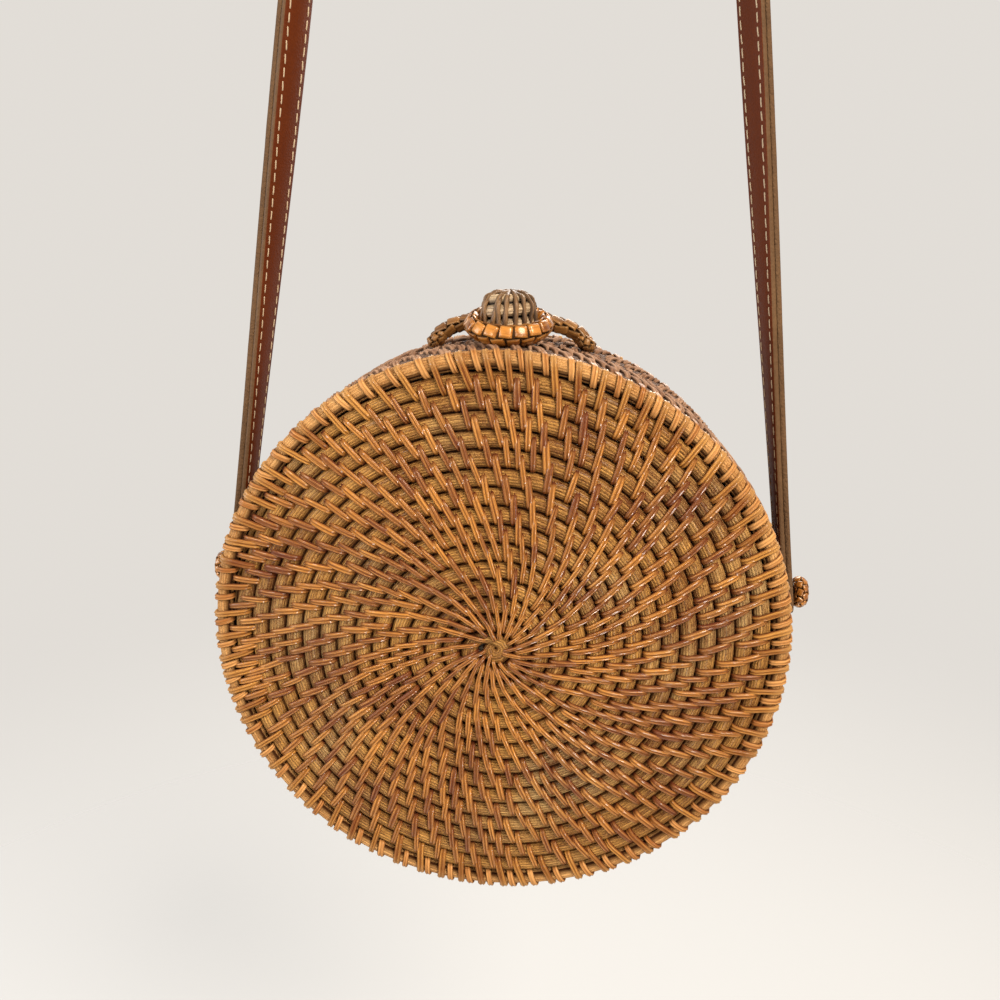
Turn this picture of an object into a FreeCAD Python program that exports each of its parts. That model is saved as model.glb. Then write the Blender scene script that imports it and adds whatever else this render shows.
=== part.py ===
import FreeCAD, Part
import math
import os
import re
import Sketcher

# Round coiled-cane shoulder bag, hanging from its leather strap.
# Origin: underside of the strap's arch, where a peg carries it. +Z up, the front faces -Y.
# The bag's own pieces are drawn about the bag's centre and then placed under the strap.

sizes = [
    ("bag_radius", 100, "outside of the side wall"),
    ("half_depth", 35, "seam plane to the edge of each round face"),
    ("front_crown", 7, "bulge of the front face past its edge"),
    ("disc_thickness", 5, "coiled round faces"),
    ("wall_thickness", 5, "coiled side walls"),
    ("coil_groove", 1.1, "depth of the grooves between coils"),
    ("corner_coil", 6, "coil that joins a face to its wall"),
    ("corner_round", 4, "rounding of that coil"),
    ("mouth_coil", 6, "edge coil at the seam, along Y"),
    ("seam_gap", 0.6, "between the two edge coils"),
    ("fit_clearance", 0.1, "sewn and turning fits, on the radius"),
    ("seat_clearance", 0.3, "room beside loose neighbours"),
    ("lining_thickness", 0.8, "cotton lining"),
    ("tie_room", 3, "side wall to lining, where the ties lie"),
    ("hem_thickness", 1.2, "folded edge of the lining"),
    ("hem_inset", 0.5, "edge coil's face to the hem"),
    ("knob_setback", 11.5, "knob axis in front of the seam"),
    ("knob_neck_radius", 5, "neck through the wall"),
    ("knob_seat", 3.6, "underside of the knob above the wall"),
    ("knob_radius", 9.1, "widest part of the knob"),
    ("knob_bevel", 1.6, "undercut of the knob's lower edge"),
    ("knob_rise", 17.5, "top of the knob above the wall"),
    ("knob_round", 6, "shoulder of the knob"),
    ("knob_cap", 0.8, "crown of the knob's top"),
    ("knob_tie_radius", 7, "tie under the wall that holds the neck"),
    ("knob_tie_thickness", 2, "thickness of that tie"),
    ("ring_radius", 12.9, "middle of the braided ring's tube"),
    ("ring_tube", 2.6, "radius of that tube"),
    ("ring_lead", 0.3, "ring centre in front of the knob axis"),
    ("ring_tilt", 13.2, "front of the ring hangs lower, degrees"),
    ("eye_radius", 3.4, "braided eye round the bar"),
    ("eye_length", 10, "its length along the bar"),
    ("eye_bite", 2.2, "how far the eye reaches into the ring's tube"),
    ("bar_radius", 2, "arched bar that carries the ring"),
    ("bar_rise", 10.2, "bar axis above the wall"),
    ("bar_flat", 8, "half of the bar's straight top"),
    ("bar_bend", 8, "bend radius of the bar"),
    ("bar_foot", 26, "half of the spread of the feet"),
    ("knot_radius", 3.8, "lashing knot round each foot"),
    ("knot_length", 7, "its length along the foot"),
    ("strap_drop", 560, "top of the strap to the buttons"),
    ("strap_width", 13, "leather strap"),
    ("strap_face", 2, "inner layer of leather"),
    ("strap_backing", 2, "outer layer of leather"),
    ("strap_stand_off", 5, "bag to strap at the buttons"),
    ("strap_arch", 22, "inside radius of the strap's top"),
    ("strap_tab", 9, "strap end past its button"),
    ("tab_round", 5.5, "rounded corners of the strap ends"),
    ("button_rise", 7, "button axis above the bag's centre"),
    ("button_setback", 9, "button axis behind the seam"),
    ("button_stem", 2.5, "radius of the stem"),
    ("button_collar", 4.5, "radius of the collar inside the strap"),
    ("button_head", 6, "radius of the braided head"),
    ("button_depth", 5, "thickness of that head"),
    ("button_bevel", 1.8, "rounding of that head"),
    ("button_tie", 5, "radius of the tie inside the wall"),
    ("button_tie_thickness", 1.5, "its thickness"),
    ("cane_radius", 2.5, "hinge cane under the seam"),
    ("cane_length", 64, "its length"),
    ("lash_radius", 4.4, "hinge lashings round the cane"),
    ("lash_width", 8, "their width along the cane"),
    ("lash_pitch", 13, "from one lashing to the next"),
    ("lash_margin", 1, "edge coil left beside a lashing"),
]

doc = FreeCAD.newDocument("circle_bag")
sheet = doc.addObject("Spreadsheet::Sheet", "Sizes")
for row, (alias, value, note) in enumerate(sizes, start=1):
    sheet.set(f"A{row}", note)
    sheet.set(f"B{row}", str(value))
    sheet.setAlias(f"B{row}", alias)
doc.recompute()

alias_pattern = re.compile(r"\b(" + "|".join(name for name, _, _ in sizes) + r")\b")
sub_parts = []


def bound(text):
    return alias_pattern.sub(r"Sizes.\1", text)


def measure(text):
    value = sheet.evalExpression(text)
    return float(getattr(value, "Value", value))


def bind(thing, path, text):
    thing.setExpression(path, bound(text))


def place(thing, x="0", y="0", z="0"):
    thing.Placement.Base = FreeCAD.Vector(measure(x), measure(y), measure(z))
    for axis, text in (("x", x), ("y", y), ("z", z)):
        if text != "0":
            bind(thing, "Placement.Base." + axis, text)


def keep(thing, label):
    thing.Label = label
    sub_parts.append(thing)
    return thing


def new_body(label):
    body = doc.addObject("PartDesign::Body", label + "_body")
    return keep(body, label)


def origin_plane(body, role):
    return next(item for item in body.Origin.OriginFeatures if item.Role == role)


def new_sketch(body, name, role):
    sketch = body.newObject("Sketcher::SketchObject", f"{body.Label}_{name}")
    sketch.AttachmentSupport = [(origin_plane(body, role), "")]
    sketch.MapMode = "FlatFace"
    return sketch


def pin_point(sketch, element, end, x, y):
    for kind, text, axis in (("DistanceX", x, -2), ("DistanceY", y, -1)):
        if text == "0":
            sketch.addConstraint(Sketcher.Constraint("PointOnObject", element, end, axis))
            continue
        index = sketch.addConstraint(Sketcher.Constraint(kind, -1, 1, element, end, measure(text)))
        bind(sketch, f"Constraints[{index}]", text)


def arc_between(start, end, radius, turn):
    chord = end - start
    middle = (start + end) * 0.5
    reach = math.sqrt(max(radius ** 2 - (chord.Length / 2) ** 2, 0))
    side = FreeCAD.Vector(-chord.y, chord.x, 0).normalize() * turn
    centre = middle + side * reach
    first, last = (start, end) if turn > 0 else (end, start)
    angles = [math.atan2(point.y - centre.y, point.x - centre.x) for point in (first, last)]
    circle = Part.Circle(centre, FreeCAD.Vector(0, 0, 1), radius)
    return Part.ArcOfCircle(circle, angles[0], angles[1])


def draw(sketch, points, closed=True):
    # Each point is (x, y), or (x, y, radius, turn) where an arc leads to it: turn 1 is anticlockwise.
    spots = [FreeCAD.Vector(measure(point[0]), measure(point[1]), 0) for point in points]
    edges = []
    count = len(points) if closed else len(points) - 1
    for index in range(count):
        goal = (index + 1) % len(points)
        target = points[goal]
        if len(target) == 4:
            radius, turn = target[2], target[3]
            element = sketch.addGeometry(arc_between(spots[index], spots[goal], measure(radius), turn))
            number = sketch.addConstraint(Sketcher.Constraint("Radius", element, measure(radius)))
            bind(sketch, f"Constraints[{number}]", radius)
            edges.append((element, 1, 2) if turn > 0 else (element, 2, 1))
        else:
            element = sketch.addGeometry(Part.LineSegment(spots[index], spots[goal]))
            edges.append((element, 1, 2))
    for index, (element, first, last) in enumerate(edges):
        pin_point(sketch, element, first, points[index][0], points[index][1])
        following = edges[(index + 1) % len(edges)]
        if closed or index < count - 1:
            sketch.addConstraint(Sketcher.Constraint("Coincident", element, last, following[0], following[1]))
        else:
            pin_point(sketch, element, last, points[-1][0], points[-1][1])
    return sketch


def draw_circle(sketch, x, y, radius):
    centre = FreeCAD.Vector(measure(x), measure(y), 0)
    element = sketch.addGeometry(Part.Circle(centre, FreeCAD.Vector(0, 0, 1), measure(radius)))
    pin_point(sketch, element, 3, x, y)
    number = sketch.addConstraint(Sketcher.Constraint("Radius", element, measure(radius)))
    bind(sketch, f"Constraints[{number}]", radius)
    return sketch


def revolve(body, points, role="XY_Plane", axis="V_Axis"):
    sketch = draw(new_sketch(body, "profile", role), points)
    turn = body.newObject("PartDesign::Revolution", body.Label + "_turn")
    turn.Profile = sketch
    turn.ReferenceAxis = (sketch, [axis])
    return turn


def pocket_through(body, sketch, both_ways=False, reverse=False):
    doc.recompute()
    volume_before = body.Shape.Volume
    pocket = body.newObject("PartDesign::Pocket", sketch.Name + "_cut")
    pocket.Profile = sketch
    pocket.Type = "ThroughAll"
    pocket.SideType = "Symmetric" if both_ways else "One side"
    pocket.Reversed = reverse
    doc.recompute()
    if body.Shape.Volume >= volume_before:
        raise RuntimeError(sketch.Name + " cuts nothing")
    return pocket


def rounded_tube(name, radius, length, x, y, z, axis="X"):
    tube = doc.addObject("Part::Cylinder", name)
    turn = {"X": (FreeCAD.Vector(0, 1, 0), 90), "Y": (FreeCAD.Vector(1, 0, 0), -90)}[axis]
    tube.Placement = FreeCAD.Placement(FreeCAD.Vector(), FreeCAD.Rotation(*turn))
    bind(tube, "Radius", radius)
    bind(tube, "Height", length)
    place(tube, x, y, z)
    return tube


def combine(kind, name, base, tool):
    result = doc.addObject(kind, name)
    result.Base = base
    result.Tool = tool
    return result


# Where the bag hangs under the strap
bag_y = "-button_setback"
bag_z = "-(strap_drop + button_rise)"

# Radii and depths that several pieces share
disc_radius = "(bag_radius - corner_coil)"
wall_inside = "(bag_radius - wall_thickness)"
lining_radius = "(bag_radius - wall_thickness - tie_room)"
half_gap = "(seam_gap / 2)"


def crown_radius(chord):
    return f"(({chord}^2 + front_crown^2) / (2 * front_crown))"


def hang(thing):
    place(thing, "0", bag_y, bag_z)


# Rows of coil on each round face and on each wall
face_rows = 15
wall_rows = 4


def coil_bulge(half_chord):
    return f"(({half_chord}^2 + coil_groove^2) / (2 * coil_groove))"


def add_disc(half, sign):
    body = new_body(half + "_disc")
    inside = f"{sign} * (half_depth - disc_thickness)"
    pitch = f"({disc_radius} / {face_rows})"
    button, bulge = coil_bulge(pitch), coil_bulge(f"({pitch} / 2)")
    crown = " - front_crown" if half == "front" else ""
    middle = ("0", f"{sign} * half_depth{crown}")
    grooves = []
    for row in range(1, face_rows + 1):
        height = f"{sign} * (half_depth - coil_groove)"
        if crown:
            height += f"{crown} * (1 - {row}^2 / {face_rows}^2)"
        grooves.append((f"{disc_radius} * {row} / {face_rows}", height))
    if crown:
        points = [middle, (*grooves[0], button, 1)] + [(*groove, bulge, 1) for groove in grooves[1:]]
        points += [(disc_radius, inside), ("0", f"{inside}{crown}", crown_radius(disc_radius), -1)]
    else:
        points = [("0", inside), (disc_radius, inside), grooves[-1]]
        points += [(*groove, bulge, 1) for groove in grooves[-2::-1]] + [(*middle, button, 1)]
    revolve(body, points)
    hang(body)


def add_corner_coil(half, sign):
    body = new_body(half + "_corner_coil")
    inside = f"{sign} * (half_depth - corner_coil)"
    outside = f"{sign} * half_depth"
    revolve(body, [(disc_radius, inside), ("bag_radius", inside),
                   ("bag_radius", f"{sign} * (half_depth - corner_round)"),
                   ("bag_radius - corner_round", outside, "corner_round", sign),
                   (disc_radius, outside)])
    hang(body)


def add_wall(half, sign):
    body = new_body(half + "_wall")
    near = f"{sign} * mouth_coil"
    far = f"{sign} * (half_depth - corner_coil)"
    depth = "(half_depth - corner_coil - mouth_coil)"
    bulge = coil_bulge(f"({depth} / {wall_rows} / 2)")
    points = [(wall_inside, near), ("bag_radius - coil_groove", near)]
    for row in range(1, wall_rows + 1):
        points.append(("bag_radius - coil_groove", f"{near} + {sign} * {depth} * {row} / {wall_rows}", bulge, sign))
    revolve(body, points + [(wall_inside, far)])
    if half == "front":
        hole = new_sketch(body, "neck_hole", "XY_Plane")
        draw_circle(hole, "0", "-knob_setback", "knob_neck_radius + fit_clearance / 2")
        pocket_through(body, hole, reverse=True)
    else:
        hole = new_sketch(body, "stem_holes", "YZ_Plane")
        draw_circle(hole, "button_setback", "button_rise", "button_stem + fit_clearance / 2")
        pocket_through(body, hole, both_ways=True)
    hang(body)


# Lashing places along the cane, in pitches from the middle
lash_steps = {"front": (-2, 0, 2), "back": (-1, 1)}


def add_mouth_coil(half, sign):
    body = new_body(half + "_mouth_coil")
    near = f"{sign} * {half_gap}"
    far = f"{sign} * mouth_coil"
    revolve(body, [(wall_inside, near), ("bag_radius", near), ("bag_radius", far), (wall_inside, far)])
    slots = new_sketch(body, "lashing_slots", "XY_Plane")
    slot_end = f"{sign} * (mouth_coil - lash_margin)"
    for step in lash_steps[half]:
        left = f"{step} * lash_pitch - lash_width / 2"
        right = f"{step} * lash_pitch + lash_width / 2"
        draw(slots, [(left, "0"), (right, "0"), (right, slot_end), (left, slot_end)])
    pocket_through(body, slots)
    hang(body)


def add_lining(half, sign):
    body = new_body(half + "_lining")
    inner = f"({lining_radius} - lining_thickness)"
    mouth = f"{sign} * ({half_gap} + hem_inset + hem_thickness)"
    floor_out = f"{sign} * (half_depth - disc_thickness - seat_clearance)"
    floor_in = f"{sign} * (half_depth - disc_thickness - seat_clearance - lining_thickness)"
    if half == "front":
        points = [("0", f"{floor_out} - front_crown"),
                  (lining_radius, floor_out, crown_radius(lining_radius), 1),
                  (lining_radius, mouth), (inner, mouth), (inner, floor_in),
                  ("0", f"{floor_in} - front_crown", crown_radius(inner), -1)]
    else:
        points = [("0", floor_out), (lining_radius, floor_out), (lining_radius, mouth),
                  (inner, mouth), (inner, floor_in), ("0", floor_in)]
    revolve(body, points)
    hang(body)
    hem = new_body(half + "_lining_hem")
    edge = f"{sign} * ({half_gap} + hem_inset)"
    rim = f"{wall_inside} - fit_clearance"
    revolve(hem, [(inner, edge), (rim, edge), (rim, mouth), (inner, mouth)])
    hang(hem)


for half_name, half_sign in (("front", -1), ("back", 1)):
    add_disc(half_name, half_sign)
    add_corner_coil(half_name, half_sign)
    add_wall(half_name, half_sign)
    add_mouth_coil(half_name, half_sign)
    add_lining(half_name, half_sign)

# Hinge: a straight cane below the seam, lashed to both edge coils
hinge_z = f"{bag_z} - bag_radius - lash_radius - seat_clearance"
cane = rounded_tube("hinge_cane_rod", "cane_radius", "cane_length", "-cane_length / 2", bag_y, hinge_z)
keep(cane, "hinge_cane")


def add_lashings(half, sign):
    # The back lashings turn on the cane, the front ones grip it
    bore = "cane_radius + fit_clearance" if half == "back" else "cane_radius"
    tab_depth = f"(mouth_coil - lash_margin - {half_gap} - seat_clearance)"
    tab_start = f"({half_gap} + seat_clearance)"
    tab_y = f"{bag_y} + {tab_start}" if sign > 0 else f"{bag_y} - {tab_start} - {tab_depth}"
    lashings = []
    for number, step in enumerate(lash_steps[half], start=1):
        name = f"{half}_lashing_{number}"
        left = f"{step} * lash_pitch - lash_width / 2"
        wrap = rounded_tube(name + "_wrap", "lash_radius", "lash_width", left, bag_y, hinge_z)
        tab = doc.addObject("Part::Box", name + "_tab")
        bind(tab, "Length", "lash_width")
        bind(tab, "Width", tab_depth)
        bind(tab, "Height", "bag_radius")
        place(tab, left, tab_y, hinge_z)
        whole = combine("Part::Fuse", name + "_whole", wrap, tab)
        hollow = rounded_tube(name + "_hollow", wall_inside, "2 * half_depth",
                              "0", f"{bag_y} - half_depth", bag_z, "Y")
        trimmed = combine("Part::Cut", name + "_trimmed", whole, hollow)
        hole = rounded_tube(name + "_bore", bore, "lash_width", left, bag_y, hinge_z)
        lashings.append(combine("Part::Cut", name, trimmed, hole))
    group = doc.addObject("Part::Compound", half + "_lashing_group")
    group.Links = lashings
    keep(group, half + "_hinge_lashings")


add_lashings("front", -1)
add_lashings("back", 1)


# Clasp: a coiled knob on the front, a braided ring on an arched bar on the back
def add_knob():
    body = new_body("closure_knob")
    tie_top = f"sqrt({wall_inside}^2 - knob_tie_radius^2) - fit_clearance"
    seat = "bag_radius + knob_seat"
    top = "bag_radius + knob_rise"
    shoulder = f"{top} - knob_cap - knob_round"
    flat = "(knob_radius - knob_round)"
    cap = f"(({flat}^2 + knob_cap^2) / (2 * knob_cap))"
    revolve(body, [("0", tie_top), ("knob_neck_radius", tie_top), ("knob_neck_radius", seat),
                   ("knob_radius - knob_bevel", seat), ("knob_radius", f"{seat} + knob_bevel"),
                   ("knob_radius", shoulder), (flat, f"{top} - knob_cap", "knob_round", 1),
                   ("0", top, cap, 1)], "XZ_Plane")
    place(body, "0", f"{bag_y} - knob_setback", bag_z)
    tie = new_body("knob_tie")
    tie_low = f"{tie_top} - knob_tie_thickness"
    revolve(tie, [("0", tie_low), ("knob_tie_radius", tie_low),
                  ("knob_tie_radius", tie_top), ("0", tie_top)], "XZ_Plane")
    place(tie, "0", f"{bag_y} - knob_setback", bag_z)


eye_reach = "(ring_radius + ring_tube - eye_bite + eye_radius)"
ring_y = f"{bag_y} - knob_setback - ring_lead"
bar_y = f"{ring_y} + {eye_reach} * cos(ring_tilt)"
bar_z = f"{bag_z} + bag_radius + bar_rise"


def add_ring():
    torus = doc.addObject("Part::Torus", "ring_tube_round")
    torus.Placement.Rotation = FreeCAD.Rotation(FreeCAD.Vector(1, 0, 0), measure("ring_tilt"))
    bind(torus, "Radius1", "ring_radius")
    bind(torus, "Radius2", "ring_tube")
    bind(torus, "Placement.Rotation.Angle", "ring_tilt")
    place(torus, "0", ring_y, f"{bar_z} - {eye_reach} * sin(ring_tilt)")
    eye = rounded_tube("ring_eye", "eye_radius", "eye_length", "-eye_length / 2", bar_y, bar_z)
    bore = rounded_tube("ring_eye_bore", "bar_radius + fit_clearance", "eye_length",
                        "-eye_length / 2", bar_y, bar_z)
    whole = combine("Part::Fuse", "ring_and_eye", torus, eye)
    keep(combine("Part::Cut", "ring_bored", whole, bore), "closure_ring")


def add_ring_bar():
    body = new_body("ring_bar")
    foot_z = "(sqrt(bag_radius^2 - bar_foot^2) - bag_radius + bar_radius + seat_clearance)"
    slope = f"atan((bar_rise - {foot_z}) / (bar_foot - bar_flat))"
    tangent = f"(bar_bend * tan({slope} / 2))"
    path = draw(new_sketch(body, "path", "XZ_Plane"), [
        ("0", "bar_rise"), (f"bar_flat - {tangent}", "bar_rise"),
        (f"bar_flat + {tangent} * cos({slope})", f"bar_rise - {tangent} * sin({slope})", "bar_bend", -1),
        ("bar_foot", foot_z)], closed=False)
    section = draw_circle(new_sketch(body, "section", "YZ_Plane"), "0", "bar_rise", "bar_radius")
    pipe = body.newObject("PartDesign::AdditivePipe", "ring_bar_half")
    pipe.Profile = section
    pipe.Spine = (path, [f"Edge{number}" for number in (1, 2, 3)])
    mirror = body.newObject("PartDesign::Mirrored", "ring_bar_whole")
    mirror.Originals = [pipe]
    mirror.MirrorPlane = (origin_plane(body, "YZ_Plane"), [""])
    body.Tip = mirror
    place(body, "0", bar_y, f"{bag_z} + bag_radius")

    knots = []
    for side, sign in (("left", -1), ("right", 1)):
        knot = doc.addObject("Part::Cylinder", side + "_foot_wrap")
        lean = f"90 deg + {slope}"
        knot.Placement.Rotation = FreeCAD.Rotation(FreeCAD.Vector(0, sign, 0), measure(lean))
        bind(knot, "Radius", "knot_radius")
        bind(knot, "Height", "knot_length")
        bind(knot, "Placement.Rotation.Angle", lean)
        place(knot, f"{sign} * (bar_foot - knot_length * cos({slope}) / 2)", bar_y,
              f"{bag_z} + bag_radius + {foot_z} + knot_length * sin({slope}) / 2")
        inner = combine("Part::Cut", side + "_foot_bored", knot, body)
        bed = rounded_tube(side + "_foot_bed", "bag_radius", "2 * half_depth",
                           "0", f"{bag_y} - half_depth", bag_z, "Y")
        knots.append(combine("Part::Cut", side + "_foot_knot", inner, bed))
    group = doc.addObject("Part::Compound", "foot_knot_group")
    group.Links = knots
    keep(group, "bar_foot_knots")


add_knob()
add_ring()
add_ring_bar()

# Strap: two layers of leather over an arch, each leg running straight to its button
strap_x = "(bag_radius + strap_stand_off)"
arch_drop = "(strap_drop - strap_arch)"
strap_lean = f"(atan({strap_x} / {arch_drop}) - asin(strap_arch / sqrt({strap_x}^2 + {arch_drop}^2)))"
leg_length = f"(sqrt({strap_x}^2 + {arch_drop}^2 - strap_arch^2) + strap_tab)"


def leg_point(side, layer, down):
    radius = f"(strap_arch + {layer})"
    x = f"{side} * ({radius} * cos({strap_lean}) + {down} * sin({strap_lean}))"
    z = f"{radius} * sin({strap_lean}) - strap_arch - {down} * cos({strap_lean})"
    return x, z


def add_strap_layer(label, near, far):
    body = new_body(label)
    inner_arc = f"(strap_arch + {near})"
    outer_arc = f"(strap_arch + {far})"
    right_in, right_out = leg_point(1, near, "0"), leg_point(1, far, "0")
    left_in, left_out = leg_point(-1, near, "0"), leg_point(-1, far, "0")
    draw(new_sketch(body, "band", "XZ_Plane"), [
        leg_point(1, near, leg_length), right_in, (*left_in, inner_arc, 1), leg_point(-1, near, leg_length),
        leg_point(-1, far, leg_length), left_out, (*right_out, outer_arc, -1), leg_point(1, far, leg_length)])
    pad = body.newObject("PartDesign::Pad", label + "_width")
    pad.Profile = doc.getObject(f"{label}_band")
    pad.SideType = "Symmetric"
    bind(pad, "Length", "strap_width")
    hole = new_sketch(body, "button_holes", "YZ_Plane")
    draw_circle(hole, "0", "-strap_drop", "button_stem + fit_clearance")
    cut = pocket_through(body, hole, both_ways=True)
    corners = []
    for number, edge in enumerate(cut.Shape.Edges, start=1):
        ends = [vertex.Point for vertex in edge.Vertexes]
        low = all(point.z < -measure("strap_drop") for point in ends)
        if low and len(ends) == 2 and abs(ends[0].y - ends[1].y) < Part.Precision.confusion():
            if abs(edge.Length - measure(f"{far} - ({near})")) < Part.Precision.approximation():
                corners.append(f"Edge{number}")
    fillet = body.newObject("PartDesign::Fillet", label + "_ends")
    fillet.Base = (cut, corners)
    bind(fillet, "Radius", "tab_round")


add_strap_layer("strap_face_leather", "0", "strap_face")
add_strap_layer("strap_backing_leather", "strap_face", "(strap_face + strap_backing)")


def add_button(label, side):
    body = new_body(label)
    tie_out = f"sqrt({wall_inside}^2 - (button_rise + button_tie)^2) - fit_clearance"
    tie_in = f"{tie_out} - button_tie_thickness"
    collar_in = "bag_radius + fit_clearance"
    collar_out = f"{strap_x} - button_collar * tan({strap_lean}) - seat_clearance"
    head_in = (f"{strap_x} + (strap_face + strap_backing) / cos({strap_lean})"
               f" + button_head * tan({strap_lean}) + seat_clearance")
    head_out = f"{head_in} + button_depth"
    outline = [(tie_in, "0"), (tie_in, "button_tie"), (tie_out, "button_tie"), (tie_out, "button_stem"),
               (collar_in, "button_stem"), (collar_in, "button_collar"), (collar_out, "button_collar"),
               (collar_out, "button_stem"), (head_in, "button_stem"), (head_in, "button_head - button_bevel"),
               (f"{head_in} + button_bevel", "button_head"), (f"{head_out} - button_bevel", "button_head"),
               (head_out, "button_head - button_bevel"), (head_out, "0")]
    revolve(body, [(f"{side} * ({x})", r) for x, r in outline], "XZ_Plane", "H_Axis")
    place(body, "0", "0", "-strap_drop")


add_button("left_strap_button", -1)
add_button("right_strap_button", 1)

doc.recompute()
failed = [item.Label for item in doc.Objects if "Invalid" in item.State or "Error" in item.State]
failed += [item.Label for item in sub_parts if item.Shape.isNull() or not item.Shape.isValid()]
if failed:
    raise RuntimeError("failed: " + ", ".join(failed))

os.makedirs("parts", exist_ok=True)
for item in sub_parts:
    item.Shape.exportStep(f"parts/{item.Label}.step")
    print(f"{item.Label}: {len(item.Shape.Solids)} solid, {item.Shape.Volume / 1000:.2f} cm3")
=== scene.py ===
import math
import random
import bmesh
import bpy
from mathutils import Matrix, Vector, noise


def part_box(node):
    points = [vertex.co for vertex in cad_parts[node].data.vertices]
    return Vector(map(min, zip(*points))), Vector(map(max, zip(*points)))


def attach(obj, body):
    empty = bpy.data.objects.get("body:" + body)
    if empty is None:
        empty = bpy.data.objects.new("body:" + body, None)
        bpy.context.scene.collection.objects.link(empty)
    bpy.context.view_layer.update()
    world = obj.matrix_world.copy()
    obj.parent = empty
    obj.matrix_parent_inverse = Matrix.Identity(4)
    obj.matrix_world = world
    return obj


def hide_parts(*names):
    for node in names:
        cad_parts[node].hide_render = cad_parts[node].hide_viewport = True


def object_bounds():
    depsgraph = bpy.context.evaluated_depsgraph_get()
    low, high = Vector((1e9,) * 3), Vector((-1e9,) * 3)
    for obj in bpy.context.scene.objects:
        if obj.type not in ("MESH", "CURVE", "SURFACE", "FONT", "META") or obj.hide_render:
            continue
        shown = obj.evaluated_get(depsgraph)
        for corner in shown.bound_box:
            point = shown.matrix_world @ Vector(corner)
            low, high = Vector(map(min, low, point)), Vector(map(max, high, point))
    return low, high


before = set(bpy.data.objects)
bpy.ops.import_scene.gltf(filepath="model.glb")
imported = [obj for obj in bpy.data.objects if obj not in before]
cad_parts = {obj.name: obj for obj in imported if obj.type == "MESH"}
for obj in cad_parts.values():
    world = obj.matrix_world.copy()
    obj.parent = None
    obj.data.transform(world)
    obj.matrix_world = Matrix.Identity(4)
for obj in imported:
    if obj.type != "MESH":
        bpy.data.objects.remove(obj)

cadBox = [list(corner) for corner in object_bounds()]
mm = 0.001
upAxis = Vector((0, 0, 1))
wayForward = Vector((0, -1, 0))  # towards the viewer of the front face
wallRows = 4  # rows of each side wall; the stitches of a face are counted on into them

# Where the bag is, read from the frame
wallLow, wallHigh = (Vector(corner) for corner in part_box("back_wall"))
bagRadius = (wallHigh.x - wallLow.x) / 2
bagCentre = Vector(((wallLow.x + wallHigh.x) / 2, 0, (wallLow.z + wallHigh.z) / 2))
bagCentre.y = (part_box("front_mouth_coil")[1][1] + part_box("back_mouth_coil")[0][1]) / 2
discRadius = (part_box("back_disc")[1][0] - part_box("back_disc")[0][0]) / 2
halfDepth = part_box("back_disc")[1][1] - bagCentre.y
frontCrown = bagCentre.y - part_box("front_disc")[0][1] - halfDepth
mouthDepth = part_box("back_mouth_coil")[1][1] - bagCentre.y
wallDepth = wallHigh.y - bagCentre.y
print("frame read: radius", round(bagRadius, 4), "half depth", round(halfDepth, 4))


# Node helpers: a value that is a socket is linked, any other is set
def link(tree, fromSocket, toSocket):
    tree.links.new(fromSocket, toSocket)


def addNode(tree, kind, values=None, **settings):
    node = tree.nodes.new(kind)
    for key, value in settings.items():
        setattr(node, key, value)
    for key, value in (values or {}).items():
        if hasattr(value, "node"):
            link(tree, value, node.inputs[key])
        else:
            node.inputs[key].default_value = value
    return node


def mathNode(tree, operation, first, second=None, clamp=False):
    values = {0: first} if second is None else {0: first, 1: second}
    return addNode(tree, "ShaderNodeMath", values, operation=operation, use_clamp=clamp).outputs[0]


def vectorMath(tree, operation, first, second):
    return addNode(tree, "ShaderNodeVectorMath", {0: first, 1: second}, operation=operation).outputs[0]


def mixColour(tree, factor, first, second):
    return addNode(tree, "ShaderNodeMix", {0: factor, 6: first, 7: second}, data_type="RGBA").outputs[2]


def mapRange(tree, value, low, high, toLow=0.0, toHigh=1.0, **settings):
    values = {"Value": value, "From Min": low, "From Max": high, "To Min": toLow, "To Max": toHigh}
    return addNode(tree, "ShaderNodeMapRange", values, **settings).outputs[0]


def noiseNode(tree, place, scale, detail=2.0, rough=0.5):
    values = {"Vector": place, "Scale": scale, "Detail": detail, "Roughness": rough}
    return addNode(tree, "ShaderNodeTexNoise", values).outputs[0]


def objectPlace(tree):
    return addNode(tree, "ShaderNodeTexCoord").outputs["Object"]


def uvPlace(tree):
    return addNode(tree, "ShaderNodeUVMap", uv_map="UVMap").outputs[0]


# Along and across a strip or a coil
def uvParts(tree):
    parts = addNode(tree, "ShaderNodeSeparateXYZ", {0: uvPlace(tree)})
    return parts.outputs[0], parts.outputs[1]


def fromMiddle(tree, value):
    return mathNode(tree, "ABSOLUTE", mathNode(tree, "SUBTRACT", value, 0.5))


# A noise brought to swing about zero
def swing(tree, value, strength):
    return mathNode(tree, "MULTIPLY", mathNode(tree, "SUBTRACT", value, 0.5), strength)


def newGroup(name, inputs, outputs):
    group = bpy.data.node_groups.new(name, "ShaderNodeTree")
    for socketName, kind, value in inputs:
        socket = group.interface.new_socket(name=socketName, in_out="INPUT", socket_type=kind)
        socket.default_value = value
    for socketName, kind in outputs:
        group.interface.new_socket(name=socketName, in_out="OUTPUT", socket_type=kind)
    return group, group.nodes.new("NodeGroupInput"), group.nodes.new("NodeGroupOutput")


# Split cane: streaks along the strip, one tint per strip, sun-faded patches, painted shade where a strip
# dives under
grainLook = dict(tintShift=(37.0, 91.0), streakDetail=4.0, streakRough=0.65, streakSwing=3.2, patchScale=38.0,
                 patchSwing=1.2, sunScale=26.0, sunDetail=3.0, sunPatch=(0.48, 0.66), dullest=0.95,
                 streakDulls=0.3, paintedShadeDulls=0.5, paintedShadeHides=2.5)


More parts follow.
